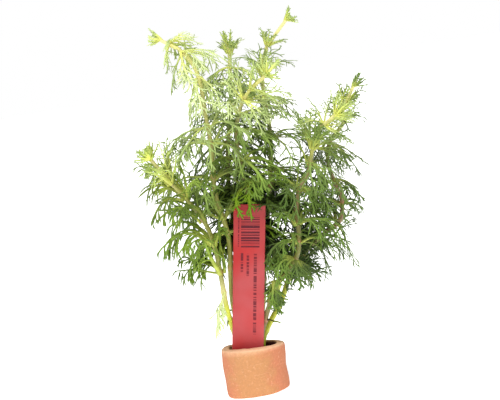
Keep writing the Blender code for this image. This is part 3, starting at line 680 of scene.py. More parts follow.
class StemLine:
    """The smoothed middle line of a shoot in millimetres, read from its stem's solid and its crown's."""

    STEP_MM = 0.6
    TIP_WIDTH = 0.95

    def __init__(self, shoot):
        bm = merged_solid("stem_" + shoot)
        floor = min(v.co.z for v in bm.verts) + 0.1
        ring = [v for v in bm.verts if v.co.z < floor]
        seen = set(ring)
        centres, radii = [], []
        while ring:
            centres.append(mean(v.co for v in ring))
            radii.append(mean_number((v.co - centres[-1]).length for v in ring))
            ring = sorted({e.other_vert(v) for v in ring for e in v.link_edges} - seen, key=lambda v: v.index)
            seen.update(ring)
        bm.free()
        self.crown_start = centres[-1]
        _, tip_leaves = crown_leaves(shoot, self.crown_start)
        centres.append(mean(leaf.root for leaf in tip_leaves))
        radii.append(radii[-1] * self.TIP_WIDTH)
        self.points, self.radii = self.smoothed(centres, radii)
        self.marks = [0.0]
        for a, b in zip(self.points, self.points[1:]):
            self.marks.append(self.marks[-1] + (b - a).length)
        self.length = self.marks[-1]

    def smoothed(self, centres, radii):
        """Points a short step apart on a smooth curve through the centres, with their radii."""
        ends = [2 * centres[0] - centres[1]] + centres + [2 * centres[-1] - centres[-2]]
        points, sizes = [], []
        for k in range(len(centres) - 1):
            a, b, c, d = ends[k:k + 4]
            steps = max(2, round((c - b).length / self.STEP_MM))
            for step in range(steps):
                t = step / steps
                points.append(0.5 * (2 * b + (c - a) * t + (2 * a - 5 * b + 4 * c - d) * t ** 2
                                     + (3 * b - a - 3 * c + d) * t ** 3))
                sizes.append(radii[k] + (radii[k + 1] - radii[k]) * t)
        return points + [centres[-1]], sizes + [radii[-1]]

    def nearest(self, point):
        """The index of the point of the line that is nearest to a place."""
        return min(range(len(self.points)), key=lambda k: (self.points[k] - point).length_squared)

    def index_at(self, mark):
        return min(range(len(self.marks)), key=lambda k: abs(self.marks[k] - mark))

    def heading(self, index):
        low, high = max(index - 2, 0), min(index + 2, len(self.points) - 1)
        return (self.points[high] - self.points[low]).normalized()


def stepped(pairs, mark):
    """The value at a mark on the straight lines between pairs of a mark and a value."""
    for (low, start), (high, end) in zip(pairs, pairs[1:]):
        if mark <= high:
            return start + (end - start) * max(0.0, mark - low) / (high - low)
    return pairs[-1][1]


def wobble(place):
    """A smooth shift that is the same in each run: noise read at three places."""
    apart = 31.7
    return Vector([noise.noise(place + Vector((0, 0, apart * k))) for k in range(3)])


def make_stem(shoot, facts, line, nodes_mm):
    """One stem: swollen at its nodes, slimmer between them, with its colour values."""
    settings = bpy.context.scene.ambulia_stems
    pale_mm, node_mm, wobble_mm = 26.0, 1.1, 0.16
    plump, lumpy, patchy, pale_leaves = 1.06, 0.06, 0.18, 0.75
    lines = Lines("tone", "pale", "node")
    radii, tones, pales, rings = [], [], [], []
    for point, radius, mark in zip(line.points, line.radii, line.marks):
        gap = min(abs(mark - node) for node in nodes_mm)
        swell = math.exp(-(gap / node_mm) ** 2)
        radii.append(radius * (plump + settings.swelling * swell + lumpy * noise.noise(point * 0.23)))
        tones.append(held(stepped(facts["tones"], mark) + patchy * noise.noise(point * 0.09)))
        near_tip = max(0.0, 1 - (line.length - mark) / pale_mm) ** 0.8
        # Paler just below the tip, and painted light where the shoot's leaves are painted paler.
        pales.append(max(near_tip, pale_leaves * stepped(facts["lights"], mark)))
        rings.append(math.exp(-(gap / (0.8 * node_mm)) ** 2))
    points = [point + wobble(point * 0.12) * wobble_mm for point in line.points]
    lines.add(points, radii, Vector((0, -1, 0.01)), tone=tones, pale=pales, node=rings)
    piece = drawn_piece("ribbed_stem_" + shoot, lines, stem_tube_tree(), **{
        "Ridges": settings.ridges, "Ridge Depth": settings.ridge_depth, "Material": stem_material()})
    hand_over(piece, "stem_green", "stem_" + shoot)


# Leaves

class Leaf:
    """A leaf's arched midrib and its sideways direction, read from its solid."""

    BEND_AT = 0.45

    def __init__(self, root, bend, tip, side):
        self.root, self.bend, self.tip, self.side = root, bend, tip, side
        t = self.BEND_AT
        self.control = (bend - root * (1 - t) ** 2 - tip * t ** 2) / (2 * t * (1 - t))
        steps = [self.at(k / 8) for k in range(9)]
        self.length = sum((b - a).length for a, b in zip(steps, steps[1:]))

    def at(self, t):
        return self.root * (1 - t) ** 2 + self.control * (2 * t * (1 - t)) + self.tip * t ** 2

    def heading(self, t):
        return ((self.control - self.root) * (1 - t) + (self.tip - self.control) * t).normalized()

    def side_at(self, t):
        along = self.heading(t)
        return (self.side - along * self.side.dot(along)).normalized()

    def facing(self, t):
        return self.heading(t).cross(self.side_at(t))

    def backwards(self):
        """How far the leaf points to the back, from -1 for straight to the front."""
        return self.heading(0.5).y


def leaves_of(node):
    """The leaves of a whorl's or crown's solid."""
    bm = merged_solid(node)

    def beside(vertex):
        """The indices of a vertex's neighbours."""
        return {e.other_vert(vertex).index for e in vertex.link_edges}

    ends = [v for v in bm.verts if len(v.link_edges) == 4]
    found = []
    for tip in ends:
        fork = [v for v in bm.verts if v.index in beside(tip)]
        if any(len(v.link_edges) > 7 for v in fork):
            continue
        among = {v.index for v in fork}
        prongs = [v for v in ends if v is not tip and len(beside(v) & among) == 2]
        roots = set().union(*(beside(v) for v in prongs)) - among
        base = [v for v in bm.verts if v.index in roots]
        if len(prongs) != 2 or len(base) != 4:
            raise RuntimeError(f"{node}: a leaf has {len(prongs)} prongs and {len(base)} root corners")
        side = (prongs[1].co - prongs[0].co).normalized()
        found.append(Leaf(mean(v.co for v in base), mean(v.co for v in fork), tip.co.copy(), side))
    bm.free()
    return found


def crown_leaves(shoot, start):
    """The leaves of a crown's solid: those of its whorl, near its start, and those of its tip."""
    whorl, tip = [], []
    for leaf in leaves_of("crown_" + shoot):
        (whorl if (leaf.root - start).length < CROWN_WHORL_MM else tip).append(leaf)
    return whorl, tip


def in_turn(leaves, centre, axis):
    """Leaves with their angle round the stem, in order."""
    reference = axis.orthogonal().normalized()
    other = axis.cross(reference)
    turned = []
    for leaf in leaves:
        out = leaf.root - centre
        turned.append((math.atan2(out.dot(other), out.dot(reference)) % math.tau, leaf))
    return sorted(turned, key=lambda entry: entry[0])


def leaves_between(leaves, centre, axis, chance, rng):
    """Smaller leaves that grow between neighbours that are no more than a fifth of a turn apart."""
    turned = in_turn(leaves, centre, axis)
    made = []
    for (angle, a), (following, b) in zip(turned, turned[1:] + turned[:1]):
        if (following - angle) % math.tau > math.tau / 5 or rng.random() > chance:
            continue
        side_a = a.side if a.side.dot(b.side) > 0 else -a.side
        share = rng.uniform(0.35, 0.65)
        size = rng.uniform(0.72, 0.92)
        root = a.root.lerp(b.root, share)
        bend = root + (a.bend.lerp(b.bend, share) - root) * size
        tip = root + (a.tip.lerp(b.tip, share) - root) * size
        made.append(Leaf(root, bend, tip, side_a.lerp(b.side, share).normalized()))
    return made


def leaves_in_gaps(leaves, centre, axis, rng):
    """Leaves that fill the wide gaps of a whorl of seven: its own ones, turned round the stem."""
    apart = math.tau / 7
    made = []
    turned = in_turn(leaves, centre, axis)
    for (angle, a), (following, _) in zip(turned, turned[1:] + turned[:1]):
        gap = (following - angle) % math.tau or math.tau
        for k in range(1, int(gap / apart)):
            turn = Matrix.Rotation(k * math.tau / 7 * rng.uniform(0.85, 1.1), 3, axis)
            size = rng.uniform(0.7, 0.95)
            root = centre + turn @ (a.root - centre)
            bend, tip = (root + turn @ (end - a.root) * size for end in (a.bend, a.tip))
            made.append(Leaf(root, bend, tip, turn @ a.side))
    return made


def undergrowth(leaves, centre, axis, rng):
    """Copies of leaves, turned a little round the stem, that hang lower or stand higher."""
    most_turn, most_tilt, size = 0.45, 0.6, 0.85
    made = []
    for leaf in leaves:
        turn = Matrix.Rotation(rng.uniform(-most_turn, most_turn), 3, axis)
        tilt = Matrix.Rotation(rng.uniform(-most_tilt, most_tilt), 3, turn @ leaf.side)
        root = centre + turn @ (leaf.root - centre)
        bend, tip = (root + tilt @ (turn @ (end - leaf.root)) * size for end in (leaf.bend, leaf.tip))
        if tip.y < BACK_MM:
            made.append(Leaf(root, bend, tip, turn @ leaf.side))
    return made


def drift(start, direction, reach, steps, pull):
    """A short path whose direction is drawn towards pull, step by step."""
    points = [start]
    for _ in range(steps):
        direction = (direction + pull / steps).normalized()
        points.append(points[-1] + direction * (reach / steps))
    return points


def tapered(width, steps, end):
    """Half widths from a root to a pointed end."""
    return [width * (1 - (1 - end) * (k / steps) ** 1.5) for k in range(steps)] + [width * 0.12]


def depth_at(point):
    """How much shade is painted on leaves at a point: 1 in the middle of the bunch, where hardly any light
    gets in.
    """
    reach = math.sqrt(sum(((p - c) / r) ** 2 for p, c, r in zip(point, DARK_CENTRE_MM, DARK_REACH_MM)))
    steep = 2.6
    return held(steep * (1 - reach))


# Painted shade along a path: the more of the leaf's least shade and that of each point's place in the bunch.
def depths(path, habit):
    return [max(habit["dim"], depth_at(point)) for point in path]


def meets_label(point):
    """Whether a point lies in the label or right beside its faces."""
    rise = (point.z - LABEL_FOOT_MM.z) / (LABEL_TOP_MM.z - LABEL_FOOT_MM.z)
    middle = LABEL_FOOT_MM.lerp(LABEL_TOP_MM, rise)
    wide, thick = LABEL_CLEAR_MM
    return rise < 1 and abs(point.x - middle.x) < wide and abs(point.y - middle.y) < thick


def habit_of(facts, age, light, dim=0.0, **changes):
    """How a leaf of a given age grows, the least painted shade on it, and the colour values that it carries.
    """
    return {"limp": facts["limp"] * min(1.0, 0.3 + age), "clump": facts["clump"] * min(1.0, age * 1.4),
            "width": facts["width"] * (0.85 + 0.3 * age), "first": 0.24, "span": 1.0, "dim": dim,
            "values": {"age": age, "grey": facts["grey"] * min(1.0, age * 1.5), "light": light}, **changes}


def grow_segment(lines, start, heading, facing, reach, width, depth, habit, along, rng):
    """A side branch or lobe of a leaf and the lobes that it forks into, unless it would meet the label."""
    steps = (DARK_STEPS if habit["dim"] > DARK_FROM else STEPS)[depth]
    across = facing.cross(heading).normalized()
    pull = DOWN * habit["limp"] * rng.uniform(0.3, 1.4) * min(1.0, reach / 4.0)
    pull += across * habit["curve"] * rng.uniform(-0.2, 1.6)
    pull += Vector([rng.uniform(-1, 1) for _ in range(3)]) * CURL
    path = drift(start, heading, reach, steps, pull)
    if any(meets_label(point) for point in path):
        return
    alongs = [along + (1 - along) * 0.5 * k / steps for k in range(steps + 1)]
    lines.add(path, tapered(width, steps, END_WIDTHS[depth]), facing, along=alongs, deep=depths(path, habit),
              **habit["values"])
    if depth == 2 or reach < FORK_MM[depth]:
        return
    forks = ((0.5, 0.5),)
    if depth == 0:
        forks = ((rng.uniform(0.28, 0.42), 0.72), (rng.uniform(0.52, 0.68), 0.52))
    hand = rng.choice((-1, 1))
    for share, size in forks:
        hand = -hand
        if rng.random() < PLAIN_CHANCE:
            continue
        at = min(steps - 1, share * steps)
        k = int(at)
        place = path[k].lerp(path[k + 1], at - k)
        forward = (path[k + 1] - path[k]).normalized()
        across = facing.cross(forward).normalized()
        angle = math.radians(rng.uniform(24, 44)) * (1 - 0.4 * habit["clump"])
        turned = forward * math.cos(angle) + across * hand * math.sin(angle) + facing * rng.uniform(-0.3, 0.3)
        grow_segment(lines, place, turned.normalized(), facing, reach * size * rng.uniform(0.8, 1.2),
                     width * 0.85, depth + 1, {**habit, "curve": hand * abs(habit["curve"])}, alongs[k], rng)


def grow_midrib(lines, leaf, habit, half, rng):
    """A leaf's midrib, which sways a little, from inside the stem to its pointed tip."""
    steps, root_width, end_width, in_stem_mm = MIDRIB_STEPS, 1.8, 0.15, 1.1
    sway = leaf.length * SWAY
    phase = rng.uniform(0, 9)
    midrib = []
    for k in range(steps + 1):
        t = k / steps
        aside = leaf.side_at(t) * math.sin(phase + 4.5 * t) + leaf.facing(t) * math.cos(2.2 * phase + 3.5 * t)
        midrib.append(leaf.at(t) + aside * math.sin(math.pi * t) * sway)
    path = [midrib[0] - leaf.heading(0) * in_stem_mm] + midrib
    facings = [leaf.facing(0)] + [leaf.facing(k / steps) for k in range(steps + 1)]
    widths = [half * root_width] + [half * (root_width - k / steps) for k in range(steps)]
    widths.append(half * end_width)
    alongs = [0.0] + [0.7 * k / steps for k in range(steps + 1)]
    lines.add(path, widths, facings, along=alongs, deep=depths(path, habit), **habit["values"])
    return midrib


def grow_leaf(lines, leaf, habit, rng):
    """A feathery leaf: a midrib with side branches that fork, getting shorter towards the tip."""
    settings = bpy.context.scene.ambulia_leaves
    half = settings.segment_width / MM / 2 * habit["width"]
    midrib = grow_midrib(lines, leaf, habit, half, rng)
    pairs = settings.pairs if leaf.length > 14 else max(3, settings.pairs - 1)
    first, last, missing = habit["first"], 0.86, 0.06
    for pair in range(pairs):
        share = first + (last - first) * pair / (pairs - 1)
        lead = rng.choice((-0.04, 0.04))
        for hand in (-1, 1):
            if rng.random() < missing:
                continue
            t = share + hand * lead + rng.uniform(-0.02, 0.02)
            at = t * MIDRIB_STEPS
            k = min(int(at), MIDRIB_STEPS - 1)
            place = midrib[k].lerp(midrib[k + 1], at - k)
            ahead, side, facing = (midrib[k + 1] - midrib[k]).normalized(), leaf.side_at(t), leaf.facing(t)
            reach = leaf.length * settings.branch_share * (1.0 - 0.6 * max(0.0, t - 0.25))
            reach *= rng.uniform(0.7, 1.2)
            reach = min(reach, leaf.length * (1.05 - t) + 1.0) * habit["span"]
            angle = math.radians(40 - 10 * t + rng.uniform(-9, 9)) * (1 - 0.4 * habit["clump"])
            lift = rng.uniform(-0.2, 0.3)
            heading = (ahead * math.cos(angle) + side * hand * math.sin(angle) + facing * lift).normalized()
            curved = {**habit, "curve": hand * 0.45}
            grow_segment(lines, place, heading, facing, reach, half * 0.92, 0, curved, t, rng)


def whorl_nodes(shoot):
    """A shoot's whorls, from the ground up."""
    start = "whorl_" + shoot + "_"
    names = [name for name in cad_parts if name.startswith(start) and name.removeprefix(start).isdigit()]
    return sorted(names, key=lambda name: int(name.removeprefix(start)))


def leaves_in_the_dark(lines, leaves, small, centre, axis, facts, rng):
    """Grows the undergrowth of a whorl in the dark middle of the bunch, as leaves painted dark with shade,
    and
    gives its small leaves: those that it had and those that fill its gaps."""
    small = small + [leaf for leaf in leaves_in_gaps(leaves, centre, axis, rng)
                     if leaf.backwards() > -0.3 and leaf.tip.y < BACK_MM]
    small += leaves_between(leaves + small, centre, axis, 1.0, rng)
    back = [leaf for leaf in leaves + small if leaf.backwards() > 0]
    for leaf in undergrowth(back, centre, axis, rng) + undergrowth(small, centre, axis, rng):
        if depth_at(leaf.tip) > 0.15 and leaf.tip.y > BEHIND_LABEL_MM:
            # Painted shade on the undergrowth: full towards the front, less further back.
            dim = 1.0 if leaf.tip.y < DIMMEST_TO_MM else 0.72
            grow_leaf(lines, leaf, habit_of(facts, 0.9, 0.0, dim), rng)
    return small


def grow_whorl(lines, leaves, index, line, age, facts, rng):
    """The leaves of one whorl, with smaller ones between them. In the light few of those grow in front of the
    stem, and none grows into the label."""
    settings = bpy.context.scene.ambulia_leaves
    centre, axis = line.points[index], line.heading(index)
    light = stepped(facts["lights"], line.marks[index])
    dark = depth_at(centre) > 0.2
    small = leaves_between(leaves, centre, axis, 1.0 if dark else settings.between, rng)
    if dark:
        small = leaves_in_the_dark(lines, leaves, small, centre, axis, facts, rng)
    elif light < 0.3:
        small += [leaf for leaf in undergrowth(leaves[::2], centre, axis, rng) if leaf.backwards() > 0]
    small = [leaf for leaf in small if dark or "full_whorl" in facts or leaf.backwards() > -0.5]
    small = [leaf for leaf in small
             if not any(meets_label(leaf.at(k / MIDRIB_STEPS)) for k in range(MIDRIB_STEPS + 1))]
    for leaf in leaves + small:
        older = rng.uniform(-0.3, 0.3)
        # Painted shade on some leaves at random, less where the shoot carries painted light.
        dim = rng.choice((0, 0.05, 0.3, 0.65)) * (1 - light)
        habit = habit_of(facts, held(age + older), light * (1 - older), dim)
        habit["width"] *= rng.uniform(0.85, 1.25) * (1 - 0.3 * min(1.0, 2.5 * light))
        if leaf.backwards() < -0.5 and not dark or leaf.tip.y > BACK_MM:
            habit["span"] = 0.75
        grow_leaf(lines, leaf, habit, rng)


def leaf_piece(name, lines, slot, *nodes):
    settings = bpy.context.scene.ambulia_leaves
    flatness = settings.segment_thickness / settings.segment_width
    piece = drawn_piece(name, lines, leaf_strip_tree(), Sides=4, Flatness=flatness, Material=leaf_material())
    hand_over(piece, slot, *nodes)


def make_whorls(shoot, facts, line):
    """The leaves of a shoot's grown whorls, as one piece."""
    rng = random.Random("whorls " + shoot)
    lines = Lines(*LEAF_VALUES)
    names = whorl_nodes(shoot)
    ages = (0.5, 0.75, 0.95)
    for order, name in enumerate(names):
        leaves = leaves_of(name)
        index = line.nearest(mean(leaf.root for leaf in leaves))
        age = ages[min(len(names) - 1 - order, len(ages) - 1)]
        grow_whorl(lines, leaves, index, line, age, facts, rng)
        if name == names[-1] and "full_whorl" in facts:
            habit = habit_of(facts, age, stepped(facts["lights"], line.marks[index]))
            for leaf in undergrowth(leaves, line.points[index], line.heading(index), rng):
                grow_leaf(lines, leaf, habit, rng)
    for places in HANGING_MM if shoot == "middle" else ():
        root, bend, tip = (Vector(place) for place in places)
        hanging = Leaf(root, bend, tip, Vector((1, 0, 0)))
        grow_leaf(lines, hanging, habit_of(facts, 0.75, 0.0, span=0.5, width=1.2), rng)
    leaf_piece("leaves_" + shoot, lines, "leaf_green", *names)


def inner_leaf(leaf, end, axis, size):
    """A smaller copy of a tip's leaf that stands closer to the stem's line."""
    root = end + (leaf.root - end) * 0.4
    lean = axis * (leaf.tip - root).length * 0.5
    return Leaf(root, root + (leaf.bend - root + lean * 0.4) * size,
                root + (leaf.tip - root + lean) * size * 0.8, leaf.side)


def make_crown(shoot, facts, line):
    """The youngest whorl of a shoot and the tuft at its end, as one piece."""
    rng = random.Random("crown " + shoot)
    lines = Lines(*LEAF_VALUES)
    whorl, tip = crown_leaves(shoot, line.crown_start)
    grow_whorl(lines, whorl, line.nearest(mean(leaf.root for leaf in whorl)), line, 0.28, facts, rng)
    end, axis = line.points[-1], line.heading(len(line.points) - 1)
    for leaf in tip:
        leaf.root = leaf.root.lerp(end, 0.4)
    inner = [inner_leaf(leaf, end, axis, rng.uniform(0.55, 0.8)) for _, leaf in in_turn(tip, end, axis)]
    if "full_crown" in facts:
        inner += undergrowth(tip + whorl, end, axis, rng) + undergrowth(tip, end, axis, rng)
    light = facts["lights"][-1][1]
    for leaf in tip + leaves_between(tip, end, axis, 1.0, rng) + inner:
        age = facts.get("crown_age", 0.0) + rng.uniform(0.0, 0.35)
        habit = habit_of(facts, age, light * rng.uniform(0.7, 1.2), clump=0.6, first=0.4, span=0.65)
        habit["width"] *= 0.8
        grow_leaf(lines, leaf, habit, rng)
    leaf_piece("crown_leaves_" + shoot, lines, "young_leaf_green", "crown_" + shoot)


def make_bits(stem_lines):
    """Root tips, buds and dead leaf ends on the lower stems, as one piece."""
    rng = random.Random("bits")
    half = bpy.context.scene.ambulia_leaves.segment_width / MM / 2
    steps, plump, upwards = 8, 1.2, 0.35
    lines = Lines(*LEAF_VALUES)
    for shoot, mark, degrees, reach, fall, age in BITS:
        line = stem_lines[shoot]
        index = line.index_at(mark)
        turn = math.radians(degrees)
        out = Vector((math.cos(turn), math.sin(turn), upwards)).normalized()
        pull = DOWN * fall + Vector([rng.uniform(-0.5, 0.5) for _ in range(3)])
        path = drift(line.points[index], out, reach + line.radii[index], steps, pull)
        # The bits carry a little painted shade.
        lines.add(path, tapered(half * plump, steps, 0.5), out.cross(DOWN).normalized(),
                  age=float(age), along=0.6, deep=0.1, grey=0.0, light=0.0)
    piece = drawn_piece("root_tips_and_buds", lines, leaf_strip_tree(), Sides=5, Flatness=0.75,
                        Material=leaf_material())
    hand_over(piece, "stem_green")


# Clay ring

def fine_ring():
    """The mesh of the ring's solid, made finer and smoother."""
    bm = merged_solid("clay_ring")
    bmesh.ops.join_triangles(bm, faces=bm.faces, angle_face_threshold=3.0, angle_shape_threshold=3.0)
    bmesh.ops.scale(bm, vec=Vector((MM, MM, MM)), verts=bm.verts)
    carrier = object_from("ring_carrier", mesh_from(bm, "ring"))
    fine = carrier.modifiers.new("fine", "SUBSURF")
    fine.levels = fine.render_levels = 3
    return plain_mesh(carrier)


def ring_pits(total, middle):
    """Small pits of the ring's outside: the place, the reach and the strength of each."""
    rng = random.Random("ring")
    outside = 0.0148
    pits = []
    for _ in range(total):
        angle = rng.uniform(0, math.tau)
        spot = middle + Vector((math.cos(angle) * outside, math.sin(angle) * outside, 0))
        spot.z = rng.uniform(0.001, 0.021)
        pits.append((spot, rng.uniform(0.0004, 0.0011), rng.uniform(0.3, 1.0)))
    return pits


def ring_top(flat):
    """The height of the ring's oblique top at a place beside its middle."""
    return 0.0222 - 0.055 * flat.x - 0.05 * flat.y


def make_ring():
    """The ring's solid, refined, then dented and pitted, with values for its rim's wear and painted light,
    and for the painted shade in its hole.
    """
    settings = bpy.context.scene.ambulia_ring
    rim_from, rim_height, dim_height, dim_width = 0.0195, 0.0022, 0.0015, 0.004
    mesh = fine_ring()
    low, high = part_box("clay_ring")
    middle = (low + high) / 2
    pits = ring_pits(settings.pits, middle)
    rubbed_and_painted_light = mesh.attributes.new("rubbed_and_painted_light", "FLOAT", "POINT")
    inside = mesh.attributes.new("inside", "FLOAT", "POINT")
    moves = []
    for index, vert in enumerate(mesh.vertices):
        place, normal = vert.co.copy(), vert.normal.copy()
        flat = Vector((place.x - middle.x, place.y - middle.y, 0))
        in_hole = normal.dot(flat) < -0.3 * flat.length
        edge = 0.0 if in_hole else held((place.z - rim_from) / rim_height)
        fine = noise.noise(place * 900)
        # Painted light on the top faces and the upper band of the outside, with fine wear along the band.
        rubbed_and_painted_light.data[index].value = held(max(0.0, normal.z) * 1.1 + 0.35 * edge + 0.25 * fine * edge)
        # Painted shade inside the hole: darker further below the top, and none on the hole's left side.
        shade = held((ring_top(flat) - place.z) / dim_height) * held((flat.x + dim_width / 2) / dim_width)
        inside.data[index].value = shade if in_hole else 0.0
        shift = settings.dent * (noise.noise(place * 130) + 0.45 * noise.noise(place * 330) + 0.2 * fine)
        for spot, reach, strength in pits:
            gap = (place - spot).length
            if gap < reach:
                shift -= settings.pit_depth * strength * (1 - (gap / reach) ** 2)
        moves.append(normal * shift)
    for vert, move in zip(mesh.vertices, moves):
        vert.co += move
        vert.co.z = max(0.0, vert.co.z)
    mesh.shade_smooth()
    piece = object_from("ring_of_clay", mesh, [clay_material()])
    hand_over(piece, "fired_clay", "clay_ring")


# Plant label

def label_axes():
    """The directions across the label, along it and out of its front."""
    across = Vector((math.cos(LABEL_LEAN_RIGHT), 0, -math.sin(LABEL_LEAN_RIGHT)))
    upright = Vector((math.sin(LABEL_LEAN_RIGHT), 0, math.cos(LABEL_LEAN_RIGHT)))
    along = upright * math.cos(LABEL_LEAN_FRONT) + Vector((0, -math.sin(LABEL_LEAN_FRONT), 0))
    return across, along, across.cross(along)


def label_grid(thick_mm):
    """A bowed grid through the middle of the label's solid, which widens from its foot, with places for its
    print in a UV map."""
    foot_half_mm, foot_share, corner_mm, cut_mm, warp_mm = 2.0, 1 / 6, 0.5, 0.12, 0.12
    columns, rows = 20, 84
    across, along, front = label_axes()
    bm = merged_solid("plant_label")
    spans = []
    for axis in (across, along, front):
        reaches = [axis.dot(v.co) for v in bm.verts]
        spans.append((min(reaches), max(reaches)))
    bm.free()
    (left, right), (foot, top), (back, fore) = spans
    half_width, middle, tall = (right - left) / 2, (right + left) / 2, top - foot
    bow = fore - back - thick_mm
    bm = bmesh.new()
    uv = bm.loops.layers.uv.new("label")
    bmesh.ops.create_grid(bm, x_segments=columns, y_segments=rows, size=1.0)
    shares = {}
    for vert in bm.verts:
        u, v = vert.co.x, (vert.co.y + 1) / 2
        shares[vert] = ((u + 1) / 2, v)
        wide = min(1.0, v / foot_share)
        corner = max(0.0, 1 - (1 - v) * tall / corner_mm)
        half = foot_half_mm + (half_width - foot_half_mm) * wide - cut_mm * corner ** 2
        warp = warp_mm * noise.noise(Vector((u * 0.7, v * 3.0, 4.0)))
        deep = fore - thick_mm / 2 - bow * (1 - u * u) * wide + warp * wide
        vert.co = (across * (middle + u * half) + along * (foot + v * tall) + front * deep) * MM
    for face in bm.faces:
        for loop in face.loops:
            loop[uv].uv = shares[loop.vert]
    bm.normal_update()
    if bm.faces[:][0].normal.dot(front) < 0:
        bmesh.ops.reverse_faces(bm, faces=bm.faces)
    return mesh_from(bm, "label")


def make_label():
    """The label: its grid, given its thickness and round edges, with print on its front."""
    thick_mm = 0.5
    printed = plastic_material("red_plastic_printed", True)
    plain = plastic_material("red_plastic_plain", False)
    carrier = object_from("label_carrier", label_grid(thick_mm), [printed, plain])
    solid = carrier.modifiers.new("thickness", "SOLIDIFY")
    solid.thickness = thick_mm * MM
    solid.offset = 0.0
    solid.material_offset = 1
    solid.material_offset_rim = 1
    rounded = carrier.modifiers.new("edges", "BEVEL")
    rounded.width = bpy.context.scene.ambulia_label.edge
    rounded.segments = 2
    rounded.limit_method = "ANGLE"
    mesh = plain_mesh(carrier)
    mesh.shade_smooth()
    piece = object_from("label_strip", mesh)
    hand_over(piece, "red_plastic", "plant_label")


# Stage

def make_light(name, direction, spread, energy):
    """Light from one side that is as soft as a large studio light's."""
    data = bpy.data.lights.new(name, "SUN")
    data.angle = spread
    data.energy = energy
    light = bpy.data.objects.new(name, data)
    light.rotation_euler = (-direction).to_track_quat("-Z", "Y").to_euler()
    bpy.context.scene.collection.objects.link(light)


def make_surround(seen_as):
    """A white surround that lights the plant less than it shows."""
    world = bpy.data.worlds.new("surround")
    world.use_nodes = True
    tree = world.node_tree
    seen = add_node(tree, "ShaderNodeLightPath").outputs["Is Camera Ray"]
    background = tree.nodes["Background"].inputs
    feed(tree, background["Color"], (1, 1, 1, 1))
    feed(tree, background["Strength"], between(tree, seen, 0.0, 1.0, seen_as, 1.0))
    bpy.context.scene.world = world


def make_floor(pale):
    """A wide pale floor that glows a little, so that it is as white as the surround."""
    bm = bmesh.new()
    bmesh.ops.create_circle(bm, cap_ends=True, segments=96, radius=6.0)
    made, tree, shader, place = new_material("pale_floor", Specular_IOR_Level=0.0, Roughness=1.0,
                                             Emission_Color=(1, 1, 1, 1), Emission_Strength=0.7)
    surface = mottled(tree, blend(tree, 1.0, (0, 0, 0), pale), place, 3.0, 60.0, 0.02, 0.01)
    feed(tree, shader.inputs["Base Color"], surface["Color"])
    floor = object_from("floor", mesh_from(bm, "floor"), [made])


def make_camera():
    """The camera, a little above the horizon and turned, so that the view is framed as in the photograph."""
    low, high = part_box("clay_ring")
    target = Vector(((low.x + high.x) / 2, (low.y + high.y) / 2, 0)) + VIEW_MIDDLE_MM * MM
    forward = Vector((0, math.cos(CAMERA_PITCH), -math.sin(CAMERA_PITCH)))
    up = Vector((0, math.sin(CAMERA_PITCH), math.cos(CAMERA_PITCH)))
    level = Vector((1, 0, 0))
    right = level * math.cos(CAMERA_ROLL) - up * math.sin(CAMERA_ROLL)
    above = level * math.sin(CAMERA_ROLL) + up * math.cos(CAMERA_ROLL)
    data = bpy.data.cameras.new("camera")
    data.sensor_width = 36.0
    data.lens = data.sensor_width * CAMERA_AWAY / (PHOTO_PIXELS * PIXEL_MM * MM)
    data.clip_start, data.clip_end = 0.01, 50.0
    camera = bpy.data.objects.new("camera", data)
    turn = Matrix((right, above, -forward)).transposed().to_4x4()
    camera.matrix_world = Matrix.Translation(target - forward * CAMERA_AWAY) @ turn
    bpy.context.scene.collection.objects.link(camera)
    bpy.context.scene.camera = camera


def make_stage():
    """A pale floor, soft light and the camera."""
    settings = bpy.context.scene.ambulia_stage
    make_floor(settings.floor)
    make_surround(settings.surround)
    make_light("key", Vector((-0.25, -0.85, 1.25)), math.radians(45), settings.key)
    make_light("fill", Vector((0.8, -0.9, 0.5)), math.radians(90), settings.fill)
    make_camera()
    bpy.context.scene.view_settings.view_transform = "Standard"


# Operators

class AMBULIA_OT_stage(Operator):
    """Adds the pale floor, the soft light and the camera"""
    bl_idname = "ambulia.stage"
    bl_label = "Stage"

    def execute(self, context):
        make_stage()
        return {"FINISHED"}


class AMBULIA_OT_ring(Operator):
    """Adds the ring of fired clay"""
    bl_idname = "ambulia.ring"
    bl_label = "Clay ring"

    def execute(self, context):
        make_ring()
        return {"FINISHED"}


class AMBULIA_OT_label(Operator):
    """Adds the printed plastic label"""
    bl_idname = "ambulia.label"
    bl_label = "Plant label"

    def execute(self, context):
        make_label()
        return {"FINISHED"}


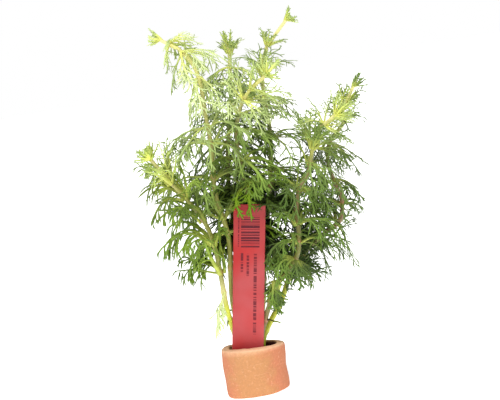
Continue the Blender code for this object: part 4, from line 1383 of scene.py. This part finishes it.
class AMBULIA_OT_stems(Operator):
    """Adds the ribbed stems, and the small bits that grow on them"""
    bl_idname = "ambulia.stems"
    bl_label = "Stems"

    def execute(self, context):
        lines = {shoot: StemLine(shoot) for shoot in SHOOTS}
        for shoot, line in lines.items():
            roots = [mean(leaf.root for leaf in leaves_of(name)) for name in whorl_nodes(shoot)]
            grown = [line.marks[line.nearest(place)] for place in (*roots, line.crown_start)]
            make_stem(shoot, SHOOTS[shoot], line, [*SHOOTS[shoot]["bare_nodes"], *grown])
        make_bits(lines)
        return {"FINISHED"}


class AMBULIA_OT_whorls(Operator):
    """Adds the feathery leaves of the whorls"""
    bl_idname = "ambulia.whorls"
    bl_label = "Leaf whorls"

    def execute(self, context):
        for shoot, facts in SHOOTS.items():
            make_whorls(shoot, facts, StemLine(shoot))
        return {"FINISHED"}


class AMBULIA_OT_crowns(Operator):
    """Adds the youngest whorls and the tufts at the growing tips"""
    bl_idname = "ambulia.crowns"
    bl_label = "Crowns"

    def execute(self, context):
        for shoot, facts in SHOOTS.items():
            make_crown(shoot, facts, StemLine(shoot))
        return {"FINISHED"}


class AMBULIA_PT_parts(Panel):
    """Lists the plant's settings and the operators that build it"""
    bl_idname = "AMBULIA_PT_parts"
    bl_label = "Ambulia bunch"
    bl_space_type = "VIEW_3D"
    bl_region_type = "UI"
    bl_category = "Ambulia"

    def draw(self, context):
        for group in GROUPS:
            box = self.layout.box()
            settings = getattr(context.scene, group)
            for key in settings.bl_rna.properties.keys():
                if key not in ("rna_type", "name"):
                    box.prop(settings, key)
        for operator in OPERATORS:
            self.layout.operator(operator.bl_idname)


GROUPS = {"ambulia_leaves": LeafSettings, "ambulia_stems": StemSettings, "ambulia_ring": RingSettings,
          "ambulia_label": LabelSettings, "ambulia_stage": StageSettings}
OPERATORS = (AMBULIA_OT_stage, AMBULIA_OT_ring, AMBULIA_OT_label, AMBULIA_OT_stems, AMBULIA_OT_whorls,
             AMBULIA_OT_crowns)
CLASSES = (*GROUPS.values(), *OPERATORS, AMBULIA_PT_parts)


def register():
    for cls in CLASSES:
        bpy.utils.register_class(cls)
    for name, group in GROUPS.items():
        setattr(bpy.types.Scene, name, PointerProperty(type=group))


def unregister():
    for name in GROUPS:
        delattr(bpy.types.Scene, name)
    for cls in reversed(CLASSES):
        bpy.utils.unregister_class(cls)


def main():
    register()
    for operator in OPERATORS:
        getattr(bpy.ops.ambulia, operator.bl_idname.split(".")[1])()


if __name__ == "__main__":
    main()
